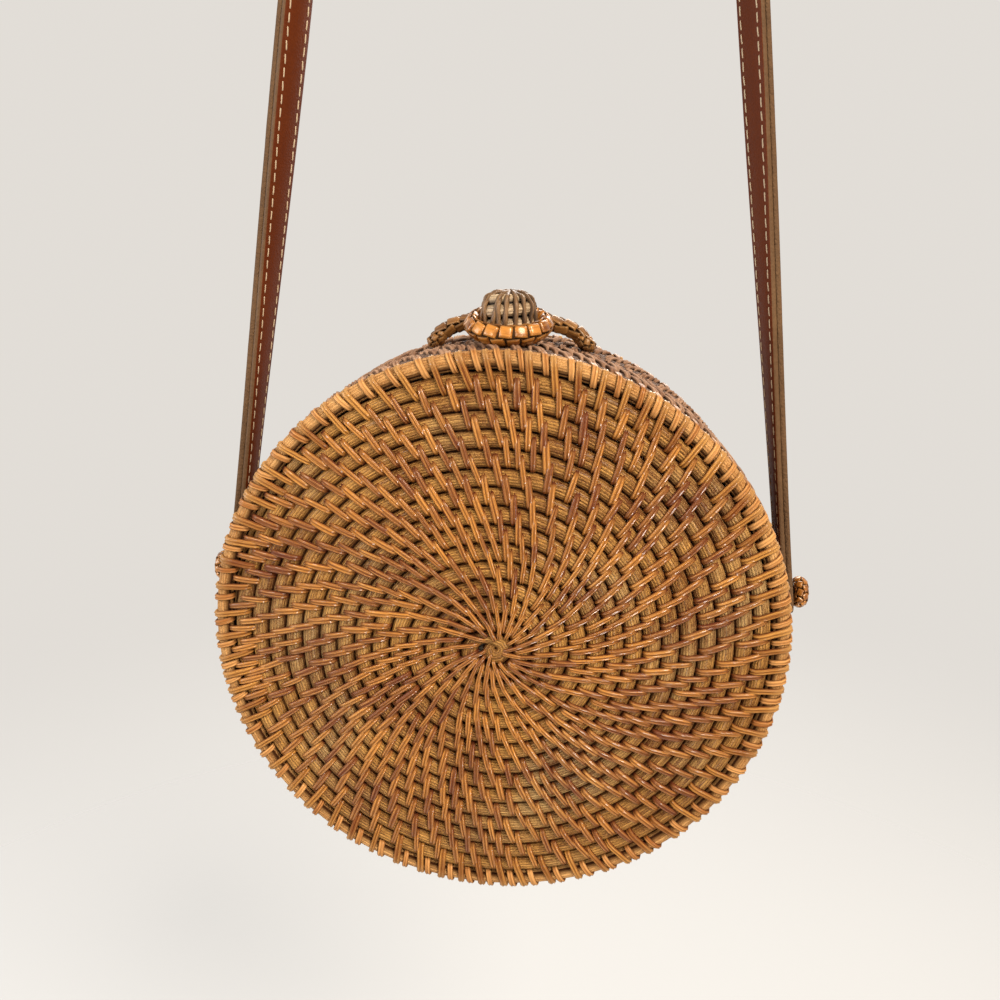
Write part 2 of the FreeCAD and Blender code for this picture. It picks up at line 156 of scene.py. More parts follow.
def buildCaneGrain():
    group, given, result = newGroup("caneGrain", [
        ("Pale", "NodeSocketColor", (0.6, 0.35, 0.12, 1)),
        ("Deep", "NodeSocketColor", (0.3, 0.12, 0.03, 1)),
        ("Painted shade", "NodeSocketColor", (0.05, 0.02, 0.01, 1)),
        ("Faded", "NodeSocketColor", (0.3, 0.2, 0.1, 1)),
        ("Fading", "NodeSocketFloat", 0.0),
        ("Tint", "NodeSocketFloat", 0.5),
        ("Streaks", "NodeSocketVector", (1, 1, 1)),
        ("Edge", "NodeSocketFloat", 0.0),
        ("Gloss", "NodeSocketFloat", 0.8)],
        [("Color", "NodeSocketColor"), ("Roughness", "NodeSocketFloat"), ("Height", "NodeSocketFloat"),
         ("Polish", "NodeSocketFloat")])
    tint, edge = given.outputs["Tint"], given.outputs["Edge"]
    scaled = vectorMath(group, "MULTIPLY", uvPlace(group), given.outputs["Streaks"])
    shiftX, shiftZ = (mathNode(group, "MULTIPLY", tint, shift) for shift in grainLook["tintShift"])
    spread = addNode(group, "ShaderNodeCombineXYZ", {0: shiftX, 2: shiftZ})
    shifted = vectorMath(group, "ADD", scaled, spread.outputs[0])
    streak = noiseNode(group, shifted, 1.0, grainLook["streakDetail"], grainLook["streakRough"])
    place = objectPlace(group)
    patch = noiseNode(group, place, grainLook["patchScale"])
    streaked = mathNode(group, "ADD", tint, swing(group, streak, grainLook["streakSwing"]))
    blend = mathNode(group, "ADD", streaked, swing(group, patch, grainLook["patchSwing"]), True)
    body = mixColour(group, blend, given.outputs["Deep"], given.outputs["Pale"])
    sun = noiseNode(group, place, grainLook["sunScale"], grainLook["sunDetail"])
    patches = mapRange(group, sun, *grainLook["sunPatch"])
    fading = mathNode(group, "MULTIPLY", patches, given.outputs["Fading"])
    faded = mixColour(group, blend, given.outputs["Deep"], given.outputs["Faded"])
    body = mixColour(group, fading, body, faded)
    # Painted shade: the Edge mask pulls the colour towards the shade colour
    link(group, mixColour(group, edge, body, given.outputs["Painted shade"]), result.inputs["Color"])
    dull = mathNode(group, "SUBTRACT", grainLook["dullest"], given.outputs["Gloss"])
    rough = mathNode(group, "ADD", mathNode(group, "MULTIPLY", streak, grainLook["streakDulls"]), dull)
    paintedShadeRough = mathNode(group, "MULTIPLY", edge, grainLook["paintedShadeDulls"])
    link(group, mathNode(group, "ADD", rough, paintedShadeRough, True), result.inputs["Roughness"])
    hidden = mathNode(group, "MULTIPLY", edge, grainLook["paintedShadeHides"])
    link(group, mathNode(group, "SUBTRACT", 1.0, hidden, True), result.inputs["Polish"])
    link(group, streak, result.inputs["Height"])
    return group


# Painted shade on a strip: at its two ends, where it dives under, on its two sides and on the line between
# its strands
paintedShadeLook = dict(sides=(0.20, 0.37), groove=0.13)


def buildStripPaintedShade():
    group, given, result = newGroup("stripPaintedShade", [
        ("End from", "NodeSocketFloat", 0.36),
        ("End to", "NodeSocketFloat", 0.52),
        ("Sides", "NodeSocketFloat", 0.7),
        ("Groove", "NodeSocketFloat", 0.6)], [("Edge", "NodeSocketFloat")])
    along, across = (fromMiddle(group, part) for part in uvParts(group))
    ends = mapRange(group, along, given.outputs["End from"], given.outputs["End to"])
    sides = mapRange(group, across, *paintedShadeLook["sides"])
    groove = mapRange(group, across, 0.0, paintedShadeLook["groove"], 1.0, 0.0)
    sidePaintedShade = mathNode(group, "MULTIPLY", sides, given.outputs["Sides"])
    groovePaintedShade = mathNode(group, "MULTIPLY", groove, given.outputs["Groove"])
    most = mathNode(group, "MAXIMUM", mathNode(group, "MAXIMUM", sidePaintedShade, groovePaintedShade), ends)
    link(group, most, result.inputs["Edge"])
    return group


# Stalks of a coil: painted shade in broken lines between them and on the coil's sides, and a tone for each
stalkLook = dict(wanderAlong=2.5, wanderAcross=2.0, wander=0.7, line=(0.03, 0.13), sides=(0.24, 0.45),
                 shadeAlong=9.0, shadeStep=3.7, shadeSwing=1.3, lineBreaks=2.0)


def buildStalkLines():
    group, given, result = newGroup("stalkLines", [
        ("Stalks", "NodeSocketFloat", 6.0), ("Line", "NodeSocketFloat", 0.8)],
        [("Edge", "NodeSocketFloat"), ("Shade", "NodeSocketFloat"), ("Height", "NodeSocketFloat")])
    along, across = uvParts(group)
    slow = addNode(group, "ShaderNodeCombineXYZ", {
        0: mathNode(group, "MULTIPLY", along, stalkLook["wanderAlong"]),
        1: mathNode(group, "MULTIPLY", across, stalkLook["wanderAcross"])})
    drift = swing(group, noiseNode(group, slow.outputs[0], 1.0), stalkLook["wander"])
    stalk = mathNode(group, "ADD", mathNode(group, "MULTIPLY", across, given.outputs["Stalks"]), drift)
    ridge = mathNode(group, "PINGPONG", stalk, 0.5)
    # Painted shade: dark lines in the grooves between stalks and on the coil's sides
    line = mapRange(group, ridge, *stalkLook["line"], 1.0, 0.0)
    sides = mapRange(group, fromMiddle(group, across), *stalkLook["sides"])
    cell = addNode(group, "ShaderNodeCombineXYZ", {
        0: mathNode(group, "MULTIPLY", along, stalkLook["shadeAlong"]),
        1: mathNode(group, "MULTIPLY", mathNode(group, "FLOOR", stalk), stalkLook["shadeStep"])})
    shade = noiseNode(group, cell.outputs[0], 1.0, 1.0)
    broken = mathNode(group, "MULTIPLY", line, mathNode(group, "MULTIPLY", shade, stalkLook["lineBreaks"]))
    lines = mathNode(group, "MULTIPLY", broken, given.outputs["Line"], True)
    link(group, mathNode(group, "MAXIMUM", lines, sides), result.inputs["Edge"])
    shadeSwing = swing(group, shade, stalkLook["shadeSwing"])
    link(group, mathNode(group, "ADD", shadeSwing, 0.5), result.inputs["Shade"])
    link(group, ridge, result.inputs["Height"])
    return group


caneGrain = buildCaneGrain()
stripPaintedShade = buildStripPaintedShade()
stalkLines = buildStalkLines()


def newMaterial(name):
    material = bpy.data.materials.new(name)
    material.use_nodes = True
    tree = material.node_tree
    return material, tree, tree.nodes["Principled BSDF"]


def setInputs(node, values):
    for key, value in values.items():
        node.inputs[key].default_value = value


def addBump(tree, shader, strength, depth, height):
    bump = addNode(tree, "ShaderNodeBump", {"Strength": strength, "Distance": depth, "Height": height})
    link(tree, bump.outputs[0], shader.inputs["Normal"])


# What a cane finish has where its entry says nothing; with turnsTo a strip changes colour along its length
plainCane = dict(fading=0.0, coatRough=0.17, sheen=0.5, glint=(1.0, 0.80, 0.52), glaze=(1.0, 0.88, 0.66),
                 relief=0.5 * mm, stalkRelief=2.0, turn=(0.5, 0.85))


def caneMaterial(name, ownLook):
    look = {**plainCane, **ownLook}
    material, tree, shader = newMaterial(name)
    grain = addNode(tree, "ShaderNodeGroup", node_tree=caneGrain)
    setInputs(grain, {"Pale": (*look["pale"], 1), "Deep": (*look["deep"], 1), "Painted shade": (*look["paintedShade"], 1),
                      "Faded": (*look.get("faded", look["pale"]), 1), "Fading": look["fading"],
                      "Streaks": look["streaks"], "Gloss": look["gloss"]})
    height = grain.outputs["Height"]
    # A coil's painted shade comes from its stalk lines and sides, a strip's from its ends, sides and groove
    if "stalks" in look:
        lines = addNode(tree, "ShaderNodeGroup", node_tree=stalkLines)
        setInputs(lines, {"Stalks": look["stalks"], "Line": look["line"]})
        link(tree, lines.outputs["Shade"], grain.inputs["Tint"])
        link(tree, lines.outputs["Edge"], grain.inputs["Edge"])
        stalkHeight = mathNode(tree, "MULTIPLY", lines.outputs["Height"], look["stalkRelief"])
        height = mathNode(tree, "ADD", stalkHeight, height)
    else:
        tint = addNode(tree, "ShaderNodeAttribute", attribute_name="tint")
        link(tree, tint.outputs["Fac"], grain.inputs["Tint"])
        paintedShade = addNode(tree, "ShaderNodeGroup", node_tree=stripPaintedShade)
        setInputs(paintedShade, {"End from": look["ends"][0], "End to": look["ends"][1], "Sides": look["sides"],
                          "Groove": look["groove"]})
        link(tree, paintedShade.outputs["Edge"], grain.inputs["Edge"])
    colour = grain.outputs["Color"]
    if "turnsTo" in look:
        turning = mapRange(tree, uvParts(tree)[0], *look["turn"])
        colour = mixColour(tree, turning, colour, (*look["turnsTo"], 1))
    link(tree, colour, shader.inputs["Base Color"])
    link(tree, grain.outputs["Roughness"], shader.inputs["Roughness"])
    addBump(tree, shader, look["bump"], look["relief"], height)
    polish = mathNode(tree, "MULTIPLY", grain.outputs["Polish"], look["coat"])
    link(tree, polish, shader.inputs["Coat Weight"])
    setInputs(shader, {"Coat Roughness": look["coatRough"], "Specular IOR Level": look["sheen"],
                       "Specular Tint": (*look["glint"], 1), "Coat Tint": (*look["glaze"], 1)})
    return material


# Colours are linear, the third of each being painted shade; a strip whose ends are at 90 has no painted shade
# at its ends
caneLooks = {
    "faceStrip": dict(pale=(0.61, 0.252, 0.038), deep=(0.12, 0.018, 0.0005), paintedShade=(0.085, 0.009, 0.0003),
                      streaks=(1.6, 18, 1), ends=(0.22, 0.42), sides=1.0, groove=0.8, bump=0.8, gloss=0.80,
                      coat=1.0, sheen=0.45, glaze=(1.0, 0.93, 0.80), coatRough=0.13,
                      faded=(0.54, 0.31, 0.10), fading=0.35),
    "rimStrip": dict(pale=(0.58, 0.260, 0.050), deep=(0.17, 0.038, 0.003), paintedShade=(0.085, 0.009, 0.0003),
                     streaks=(1.6, 18, 1), ends=(0.40, 0.55), sides=1.0, groove=0.8, bump=0.8, gloss=0.70,
                     coat=0.3, sheen=0.35, glaze=(1.0, 0.93, 0.80), coatRough=0.13,
                     turnsTo=(0.50, 0.26, 0.085)),
    "faceCoil": dict(pale=(0.61, 0.305, 0.074), deep=(0.085, 0.017, 0.001), paintedShade=(0.055, 0.006, 0.0002),
                     streaks=(6, 34, 1), stalks=9.0, line=0.6, bump=0.8, gloss=0.62, coat=0.1, sheen=0.35,
                     faded=(0.51, 0.340, 0.145), fading=0.75),
    "cornerStrip": dict(pale=(0.68, 0.33, 0.105), deep=(0.29, 0.090, 0.016), paintedShade=(0.040, 0.008, 0.001),
                        streaks=(1.2, 8, 1), ends=(0.42, 0.55), sides=0.8, groove=0.4, bump=0.45,
                        gloss=0.60, coat=0.1, sheen=0.3, turnsTo=(0.30, 0.155, 0.085)),
    "cornerCoil": dict(pale=(0.70, 0.37, 0.130), deep=(0.30, 0.115, 0.026), paintedShade=(0.035, 0.008, 0.001),
                       streaks=(7, 26, 1), stalks=9.0, line=0.34, bump=0.6, gloss=0.5, coat=0.0, sheen=0.3),
    "sideStrip": dict(pale=(0.45, 0.26, 0.155), deep=(0.21, 0.100, 0.053), paintedShade=(0.025, 0.010, 0.005),
                      streaks=(1.2, 8, 1), ends=(0.38, 0.54), sides=0.7, groove=0.35, bump=0.45, gloss=0.30,
                      coat=0.0, sheen=0.1, glint=(1, 1, 1), glaze=(1, 1, 1)),
    "sideCoil": dict(pale=(0.20, 0.105, 0.058), deep=(0.07, 0.033, 0.017), paintedShade=(0.008, 0.004, 0.002),
                     streaks=(7, 26, 1), stalks=9.0, line=0.5, bump=0.7, gloss=0.42, coat=0.0,
                     glint=(1, 1, 1), glaze=(1, 1, 1)),
    "mouthCoil": dict(pale=(0.26, 0.140, 0.078), deep=(0.10, 0.048, 0.025), paintedShade=(0.030, 0.014, 0.008),
                      streaks=(7, 26, 1), stalks=9.0, line=0.5, bump=0.7, gloss=0.42, coat=0.0,
                      glint=(1, 1, 1), glaze=(1, 1, 1)),
    "braidStrip": dict(pale=(0.52, 0.21, 0.036), deep=(0.16, 0.046, 0.006), paintedShade=(0.03, 0.008, 0.002),
                       streaks=(1.0, 6, 1), ends=(0.40, 0.56), sides=0.6, groove=0.0, bump=0.4, gloss=0.82,
                       coat=0.5),
    # The bar's braid: the ring's braid darkened with painted shade, as the bar lies in shadow behind the ring
    "barStripShaded": dict(pale=(0.33, 0.150, 0.040), deep=(0.11, 0.040, 0.009), paintedShade=(0.02, 0.007, 0.002),
                     streaks=(1.0, 6, 1), ends=(0.40, 0.56), sides=0.6, groove=0.0, bump=0.4, gloss=0.70,
                     coat=0.25),
    # A plait's core: painted shade, dark where it shows between facets
    "braidCoreShade": dict(pale=(0.07, 0.026, 0.008), deep=(0.02, 0.008, 0.003), paintedShade=(0.012, 0.005, 0.002),
                      streaks=(20, 8, 1), stalks=4.0, line=0.5, bump=0.4, gloss=0.4, coat=0.0),
    "bindingStrip": dict(pale=(0.50, 0.22, 0.055), deep=(0.22, 0.075, 0.015), paintedShade=(0.04, 0.012, 0.004),
                         streaks=(14, 5, 1), ends=(90.0, 91.0), sides=0.6, groove=0.0, bump=0.5, gloss=0.65,
                         coat=0.3),
    "knobCoil": dict(pale=(0.62, 0.44, 0.25), deep=(0.26, 0.155, 0.075), paintedShade=(0.02, 0.010, 0.005),
                     streaks=(7, 14, 1), stalks=5.0, line=0.5, bump=0.6, gloss=0.55, coat=0.1,
                     glint=(1, 1, 1), glaze=(1, 1, 1)),
    "knobWrap": dict(pale=(0.22, 0.115, 0.045), deep=(0.065, 0.030, 0.012), paintedShade=(0.02, 0.009, 0.004),
                     streaks=(7, 5, 1), ends=(90.0, 91.0), sides=0.6, groove=0.0, bump=0.5, gloss=0.62,
                     coat=0.10, sheen=0.3, glint=(1, 1, 1), glaze=(1, 1, 1)),
}
caneFinish = {name: caneMaterial(name, look) for name, look in caneLooks.items()}
print("cane finishes:", len(caneFinish))


# Meshes
def showPiece(name, data):
    piece = bpy.data.objects.new(name, data)
    bpy.context.scene.collection.objects.link(piece)
    return piece


def meshObject(name, verts, faces, uvs=None, material=None, smooth=True):
    mesh = bpy.data.meshes.new(name)
    mesh.from_pydata(verts, [], faces)
    if uvs:
        layer = mesh.uv_layers.new(name="UVMap")
        for loop in mesh.loops:
            layer.data[loop.index].uv = uvs[loop.vertex_index]
    if material:
        mesh.materials.append(material)
    mesh.polygons.foreach_set("use_smooth", [smooth] * len(mesh.polygons))
    shell = bmesh.new()
    shell.from_mesh(mesh)
    bmesh.ops.recalc_face_normals(shell, faces=shell.faces)
    shell.to_mesh(mesh)
    shell.free()
    mesh.update()
    return showPiece(name, mesh)


# One tint for a whole piece, where the strips of others have one each
def addTint(piece, value=0.5):
    layer = piece.data.attributes.new("tint", "FLOAT", "POINT")
    layer.data.foreach_set("value", [value] * len(piece.data.vertices))
    return piece


# A skin over rings of (position, u, v)
def skin(rings, closedPath=False, base=0):
    count = len(rings[0])
    verts = [spot[0] for ring in rings for spot in ring]
    uvs = [(spot[1], spot[2]) for ring in rings for spot in ring]
    faces = []
    for index in range(len(rings) if closedPath else len(rings) - 1):
        here = base + index * count
        there = base + ((index + 1) % len(rings)) * count
        for corner in range(count):
            after = (corner + 1) % count
            faces.append((here + corner, here + after, there + after, there + corner))
    if not closedPath:
        faces.append(tuple(range(base + count - 1, base - 1, -1)))
        faces.append(tuple(range(base + (len(rings) - 1) * count, base + len(rings) * count)))
    return verts, faces, uvs


# Several skins as one piece
def skins(name, parts, material):
    verts, faces, uvs = [], [], []
    for rings, closedPath in parts:
        moreVerts, moreFaces, moreUvs = skin(rings, closedPath, len(verts))
        verts += moreVerts
        faces += moreFaces
        uvs += moreUvs
    return meshObject(name, verts, faces, uvs, material)


def circleTurns(count):
    return [2 * math.pi * index / count for index in range(count)]


# A ring in a flat shape of (across, up) about a centre
def shapeRing(centre, across, halfWidth, up, halfThick, shape, u):
    return [(centre + across * (a * halfWidth) + up * (b * halfThick), u, index / (len(shape) - 1))
            for index, (a, b) in enumerate(shape)]


# A coil of grass: a flattened bundle whose upper side shows its stalks
coil = dict(stalks=9, pointsPerStalk=2, groove=0.08 * mm, wander=0.10 * mm, wanderAlong=45, wanderAround=2.4,
            stationStep=2.6 * mm, under=4, square=2.1, uvAlong=10, uvUnder=0.2)


def coilRing(centre, outward, across, halfWidth, halfHeight, u, seedShift):
    points = []
    topCount = coil["stalks"] * coil["pointsPerStalk"] + 1
    power = 2 / coil["square"]
    around = coil["wanderAround"]
    for index in range(topCount + coil["under"]):
        if index < topCount:
            v = index / (topCount - 1)
            turn = math.pi * v
            lift = 0.0 if index % coil["pointsPerStalk"] else -coil["groove"]
        else:
            step = (index - topCount + 1) / (coil["under"] + 1)
            v = 1 + coil["uvUnder"] * math.sin(math.pi * step)
            turn = math.pi * (1 + step)
            lift = 0.0
        cosine, sine = math.cos(turn), math.sin(turn)
        stray = Vector((u * coil["wanderAlong"] + seedShift, cosine * around, sine * around))
        lift += coil["wander"] * noise.noise(stray)
        wide = math.copysign(abs(cosine) ** power, cosine)
        high = math.copysign(abs(sine) ** power, sine)
        spot = centre + across * (wide * (halfWidth + lift)) + outward * (high * (halfHeight + lift))
        points.append((spot, u * coil["uvAlong"], v))
    return points


# One stitch of unit size along sections of (x, z, normal x, normal z, width, drift to the side)
def stitchMesh(name, sections, cross, thick):
    rings = []
    for step, (x, z, normalX, normalZ, wide, *drift) in enumerate(sections):
        points = []
        for index, (sideways, rise) in enumerate(cross):
            y = sideways * wide + sum(drift)
            spot = Vector((x + normalX * rise * thick, y, z + normalZ * rise * thick))
            points.append((spot, step / (len(sections) - 1), index / (len(cross) - 1)))
        rings.append(points)
    piece = meshObject(name, *skin(rings))
    bpy.context.scene.collection.objects.unlink(piece)
    return piece


# Cross sections of a stitch: two strands side by side, or one flat strip
pairCross = [(-0.48, -0.55), (-0.52, 0.08), (-0.26, 0.46), (0.0, 0.2), (0.26, 0.46), (0.52, 0.08),
             (0.48, -0.55)]
flatCross = [(-0.5, -0.5), (-0.5, 0.15), (-0.3, 0.42), (0.3, 0.42), (0.5, 0.15), (0.5, -0.5)]

# How the ends of a strip go under, from shares of its half length
stripEnd = dict(diveFrom=0.5, divePower=2.2, tuckFrom=0.7, tuck=0.14, narrowFrom=0.75, flatNarrow=0.22,
                arcNarrow=0.2)


def pastShare(edge, start):
    return max(0, (edge - start) / (1 - start))


def flatSections(dive, count):
    sections = []
    for index in range(count):
        x = index / (count - 1) - 0.5
        edge = abs(x) * 2
        rise = -dive * pastShare(edge, stripEnd["diveFrom"]) ** stripEnd["divePower"]
        wide = 1 - stripEnd["flatNarrow"] * pastShare(edge, stripEnd["narrowFrom"])
        sections.append((x, rise, 0, 1, wide))
    return sections


def arcSections(halfSpan, count):
    sections = []
    for index in range(count):
        turn = halfSpan * (2 * index / (count - 1) - 1)
        edge = abs(turn) / halfSpan
        reach = 1 - stripEnd["tuck"] * pastShare(edge, stripEnd["tuckFrom"]) ** 2
        wide = 1 - stripEnd["arcNarrow"] * pastShare(edge, stripEnd["narrowFrom"])
        sine, cosine = math.sin(turn), math.cos(turn)
        sections.append((sine * reach, cosine * reach, sine, cosine, wide))
    return sections


# Geometry Nodes: one strip on each point, turned and sized by the point's own attributes
def buildLayStrips():
    tree = bpy.data.node_groups.new("layStrips", "GeometryNodeTree")
    for name, kind in (("Points", "NodeSocketGeometry"), ("Strip", "NodeSocketObject"),
                       ("Finish", "NodeSocketMaterial"), ("Tint low", "NodeSocketFloat"),
                       ("Tint high", "NodeSocketFloat"), ("Seed", "NodeSocketInt")):
        tree.interface.new_socket(name=name, in_out="INPUT", socket_type=kind)
    tree.interface.new_socket(name="Strips", in_out="OUTPUT", socket_type="NodeSocketGeometry")
    given = tree.nodes.new("NodeGroupInput")
    result = tree.nodes.new("NodeGroupOutput")
    strip = addNode(tree, "GeometryNodeObjectInfo")
    aim = addNode(tree, "GeometryNodeInputNamedAttribute", {"Name": "aim"}, data_type="QUATERNION")
    size = addNode(tree, "GeometryNodeInputNamedAttribute", {"Name": "size"}, data_type="FLOAT_VECTOR")
    lay = addNode(tree, "GeometryNodeInstanceOnPoints")
    shade = addNode(tree, "FunctionNodeRandomValue", data_type="FLOAT")
    store = addNode(tree, "GeometryNodeStoreNamedAttribute", {"Name": "tint"}, data_type="FLOAT",
                    domain="INSTANCE")
    real = addNode(tree, "GeometryNodeRealizeInstances")
    finish = addNode(tree, "GeometryNodeSetMaterial")
    link(tree, given.outputs["Strip"], strip.inputs["Object"])
    link(tree, given.outputs["Points"], lay.inputs["Points"])
    link(tree, strip.outputs["Geometry"], lay.inputs["Instance"])
    link(tree, aim.outputs["Attribute"], lay.inputs["Rotation"])
    link(tree, size.outputs["Attribute"], lay.inputs["Scale"])
    link(tree, given.outputs["Tint low"], shade.inputs[2])
    link(tree, given.outputs["Tint high"], shade.inputs[3])
    link(tree, given.outputs["Seed"], shade.inputs["Seed"])
    link(tree, lay.outputs[0], store.inputs["Geometry"])
    link(tree, shade.outputs[1], store.inputs["Value"])
    link(tree, store.outputs[0], real.inputs[0])
    link(tree, real.outputs[0], finish.inputs["Geometry"])
    link(tree, given.outputs["Finish"], finish.inputs["Material"])
    link(tree, finish.outputs[0], result.inputs[0])
    return tree


layStrips = buildLayStrips()


def setInput(modifier, name, value):
    for item in modifier.node_group.interface.items_tree:
        if item.item_type == "SOCKET" and item.in_out == "INPUT" and item.name == name:
            modifier[item.identifier] = value


# spots: list of (position, along, outward, (length, width, height))
def layStitches(name, spots, strip, material, seed, tint=(0.2, 0.9)):
    mesh = bpy.data.meshes.new(name + "_points")
    mesh.from_pydata([spot[0] for spot in spots], [], [])
    for key, kind in (("aim", "QUATERNION"), ("size", "FLOAT_VECTOR")):
        mesh.attributes.new(key, kind, "POINT")
    aim, size = mesh.attributes["aim"], mesh.attributes["size"]
    for index, spot in enumerate(spots):
        along, outward, scale = spot[1:]
        across = outward.cross(along).normalized()
        forward = across.cross(outward).normalized()
        aim.data[index].value = Matrix((forward, across, outward.normalized())).transposed().to_quaternion()
        size.data[index].vector = scale
    holder = showPiece(name + "_points", mesh)
    modifier = holder.modifiers.new("layStrips", "NODES")
    modifier.node_group = layStrips
    for key, value in (("Strip", strip), ("Finish", material), ("Tint low", tint[0]), ("Tint high", tint[1]),
                       ("Seed", seed)):
        setInput(modifier, key, value)
    solid = bpy.data.meshes.new_from_object(holder.evaluated_get(bpy.context.evaluated_depsgraph_get()))
    holder.modifiers.remove(modifier)
    bpy.data.objects.remove(holder)
    solid.name = name
    solid.polygons.foreach_set("use_smooth", [True] * len(solid.polygons))
    return showPiece(name, solid)


def settle(piece, body, nodes):
    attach(piece, body)
    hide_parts(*nodes)


# Round faces: one coil that steps out a row each turn, sewn to the row inside it
face = dict(turns=15, coilHeight=2.9 * mm, sink=2.9 * mm, fill=0.98, stepFrom=0.7, phase=math.radians(200),
            firstTurn=0.12, tip=0.47, tipWidth=0.2, tipRise=0.3, lastWidth=0.12, smallest=4 * mm,
            grainSeed=dict(front=3.1, back=8.7),
            firstStitch=1.0, firstCount=15, spacing=3.9 * mm, spacingGrowth=0.045, offset=0.27,
            offsetScatter=0.03, split=1.34, splitScatter=0.06, splitPlaces=(0.14, 0.62), spanIn=1.5,
            spanOut=0.27, innerEnd=0.78, innerScatter=(0.25, 1.3), lean=math.radians(11),
            leanScatter=(0.5, 1.5), thick=1.35, lift=0.1 * mm,
            stitchWidth=2.2 * mm, centreWidth=1.2 * mm, fullWidthAt=0.55, widthScatter=(0.85, 1.18),
            lengthScatter=(0.95, 1.05), seed=7, tint=(0.20, 0.85), tintSeed=11)
facePitch = discRadius / face["turns"]


def facePoint(half, radius, turn, depth):
    sign = -1 if half == "front" else 1
    crown = frontCrown if half == "front" else 0
    share = min(radius / discRadius, 1)
    slope = 2 * crown * share / discRadius
    radial = Vector((math.cos(turn), 0, math.sin(turn)))
    outward = (Vector((0, sign, 0)) + radial * slope).normalized()
    along = (radial - Vector((0, sign, 0)) * slope).normalized()
    surface = bagCentre + radial * radius + Vector((0, sign * (halfDepth + crown * (1 - share ** 2)), 0))
    return surface - outward * depth, outward, along


# Where a count of turns points, as an angle
def facing(turns):
    return turns * 2 * math.pi + face["phase"]


# Radius of the coil's middle and its width, in rows, after so many turns; past the last is the corner coil
def faceRow(turns):
    whole = math.floor(turns)
    if turns < face["firstTurn"]:
        width = 1 - (1 - face["tipWidth"]) * (face["firstTurn"] - turns) / face["tip"]
        return width / 2, width
    if whole >= face["turns"]:
        return face["turns"] + 0.5, 1
    share = min(1, max(0, (turns - whole - face["stepFrom"]) / (1 - face["stepFrom"])))
    step = share * share * (3 - 2 * share)
    if whole >= face["turns"] - 1:
        width = max(0, 1 - step)
        return face["turns"] - width / 2, width
    return whole + 0.5 + step, 1


def faceCoil(half):
    rings = []
    turns, walked = face["firstTurn"] - face["tip"], 0
    while turns < face["turns"]:
        row, width = faceRow(turns)
        if turns > 1 and width < face["lastWidth"]:
            break
        radius = row * facePitch
        spot, outward, along = facePoint(half, radius, facing(turns), face["sink"])
        halfWidth = facePitch / 2 * face["fill"] * width
        height = face["coilHeight"] * min(1, width + face["tipRise"])
        rings.append(coilRing(spot, outward, along, halfWidth, height, walked, face["grainSeed"][half]))
        turns += coil["stationStep"] / max(radius, face["smallest"]) / (2 * math.pi)
        walked += coil["stationStep"]
    return addTint(skins(half + "_disc_coil", [(rings, False)], caneFinish["faceCoil"]))


# Stitches follow the coil; each falls between two of the row inside, and a wide gap takes two
def faceTurns():
    draws = random.Random(face["seed"])
    turns = [face["firstStitch"] + index / face["firstCount"] for index in range(face["firstCount"] + 1)]
    gap = 0
    while True:
        low, high = turns[gap], turns[gap + 1]
        middle = (low + high) / 2 + 1
        if middle > face["turns"] + 2 + wallRows:
            return turns
        radius = faceRow(middle)[0] * facePitch
        shift = facePitch * math.tan(face["lean"]) / radius / (2 * math.pi)
        gapLength = (high - low) * 2 * math.pi * radius
        wanted = face["spacing"] + face["spacingGrowth"] * radius
        widest = wanted * (face["split"] + draws.uniform(-face["splitScatter"], face["splitScatter"]))
        for place in (face["splitPlaces"] if gapLength > widest else (face["offset"],)):
            turns.append(low + (high - low) * (place + draws.gauss(0, face["offsetScatter"])) + 1 + shift)
        gap += 1


# Outer end comes up through its row, inner end turns down into the gap below the next row
faceStitch = stitchMesh("faceStitch", [
    (-0.50, -2.6, -0.07, 0.5, 0.62), (-0.46, -1.1, -0.055, 0.75, 0.88), (-0.37, -0.12, -0.02, 1, 1),
    (-0.21, 0.24, 0, 1, 1), (0.05, 0.3, 0, 1, 0.98), (0.28, 0.16, 0, 1, 0.94), (0.42, -0.28, 0.02, 1, 0.84),
    (0.50, -1.3, 0.03, 0.9, 0.62)], pairCross, face["thick"])
stitchTurns = faceTurns()


def faceStitches(half):
    draws = random.Random(face["seed"])
    spots = []
    for turns in stitchTurns:
        if turns >= face["turns"]:
            break
        row = faceRow(turns)[0]
        low = max(face["innerEnd"] * draws.uniform(*face["innerScatter"]), row - face["spanIn"])
        high = row + face["spanOut"]
        middle = (low + high) / 2 * facePitch
        lean = face["lean"] * draws.uniform(*face["leanScatter"])
        turn = facing(turns)
        spot, outward, along = facePoint(half, middle, turn, 0)
        around = Vector((-math.sin(turn), 0, math.cos(turn)))
        aim = along * math.cos(lean) + around * math.sin(lean)
        grow = min(1, middle / (face["fullWidthAt"] * discRadius))
        length = (high - low) * facePitch / math.cos(lean) * draws.uniform(*face["lengthScatter"])
        width = face["centreWidth"] + (face["stitchWidth"] - face["centreWidth"]) * grow
        scale = (length, width * draws.uniform(*face["widthScatter"]), mm)
        spots.append((spot + outward * face["lift"], aim, outward, scale))
    return layStitches(half + "_disc_stitches", spots, faceStitch, caneFinish["faceStrip"], face["tintSeed"],
                       face["tint"])


for half in ("front", "back"):
    for piece in (faceCoil(half), faceStitches(half)):
        settle(piece, half + "_half", [half + "_disc"])
print("round faces woven")

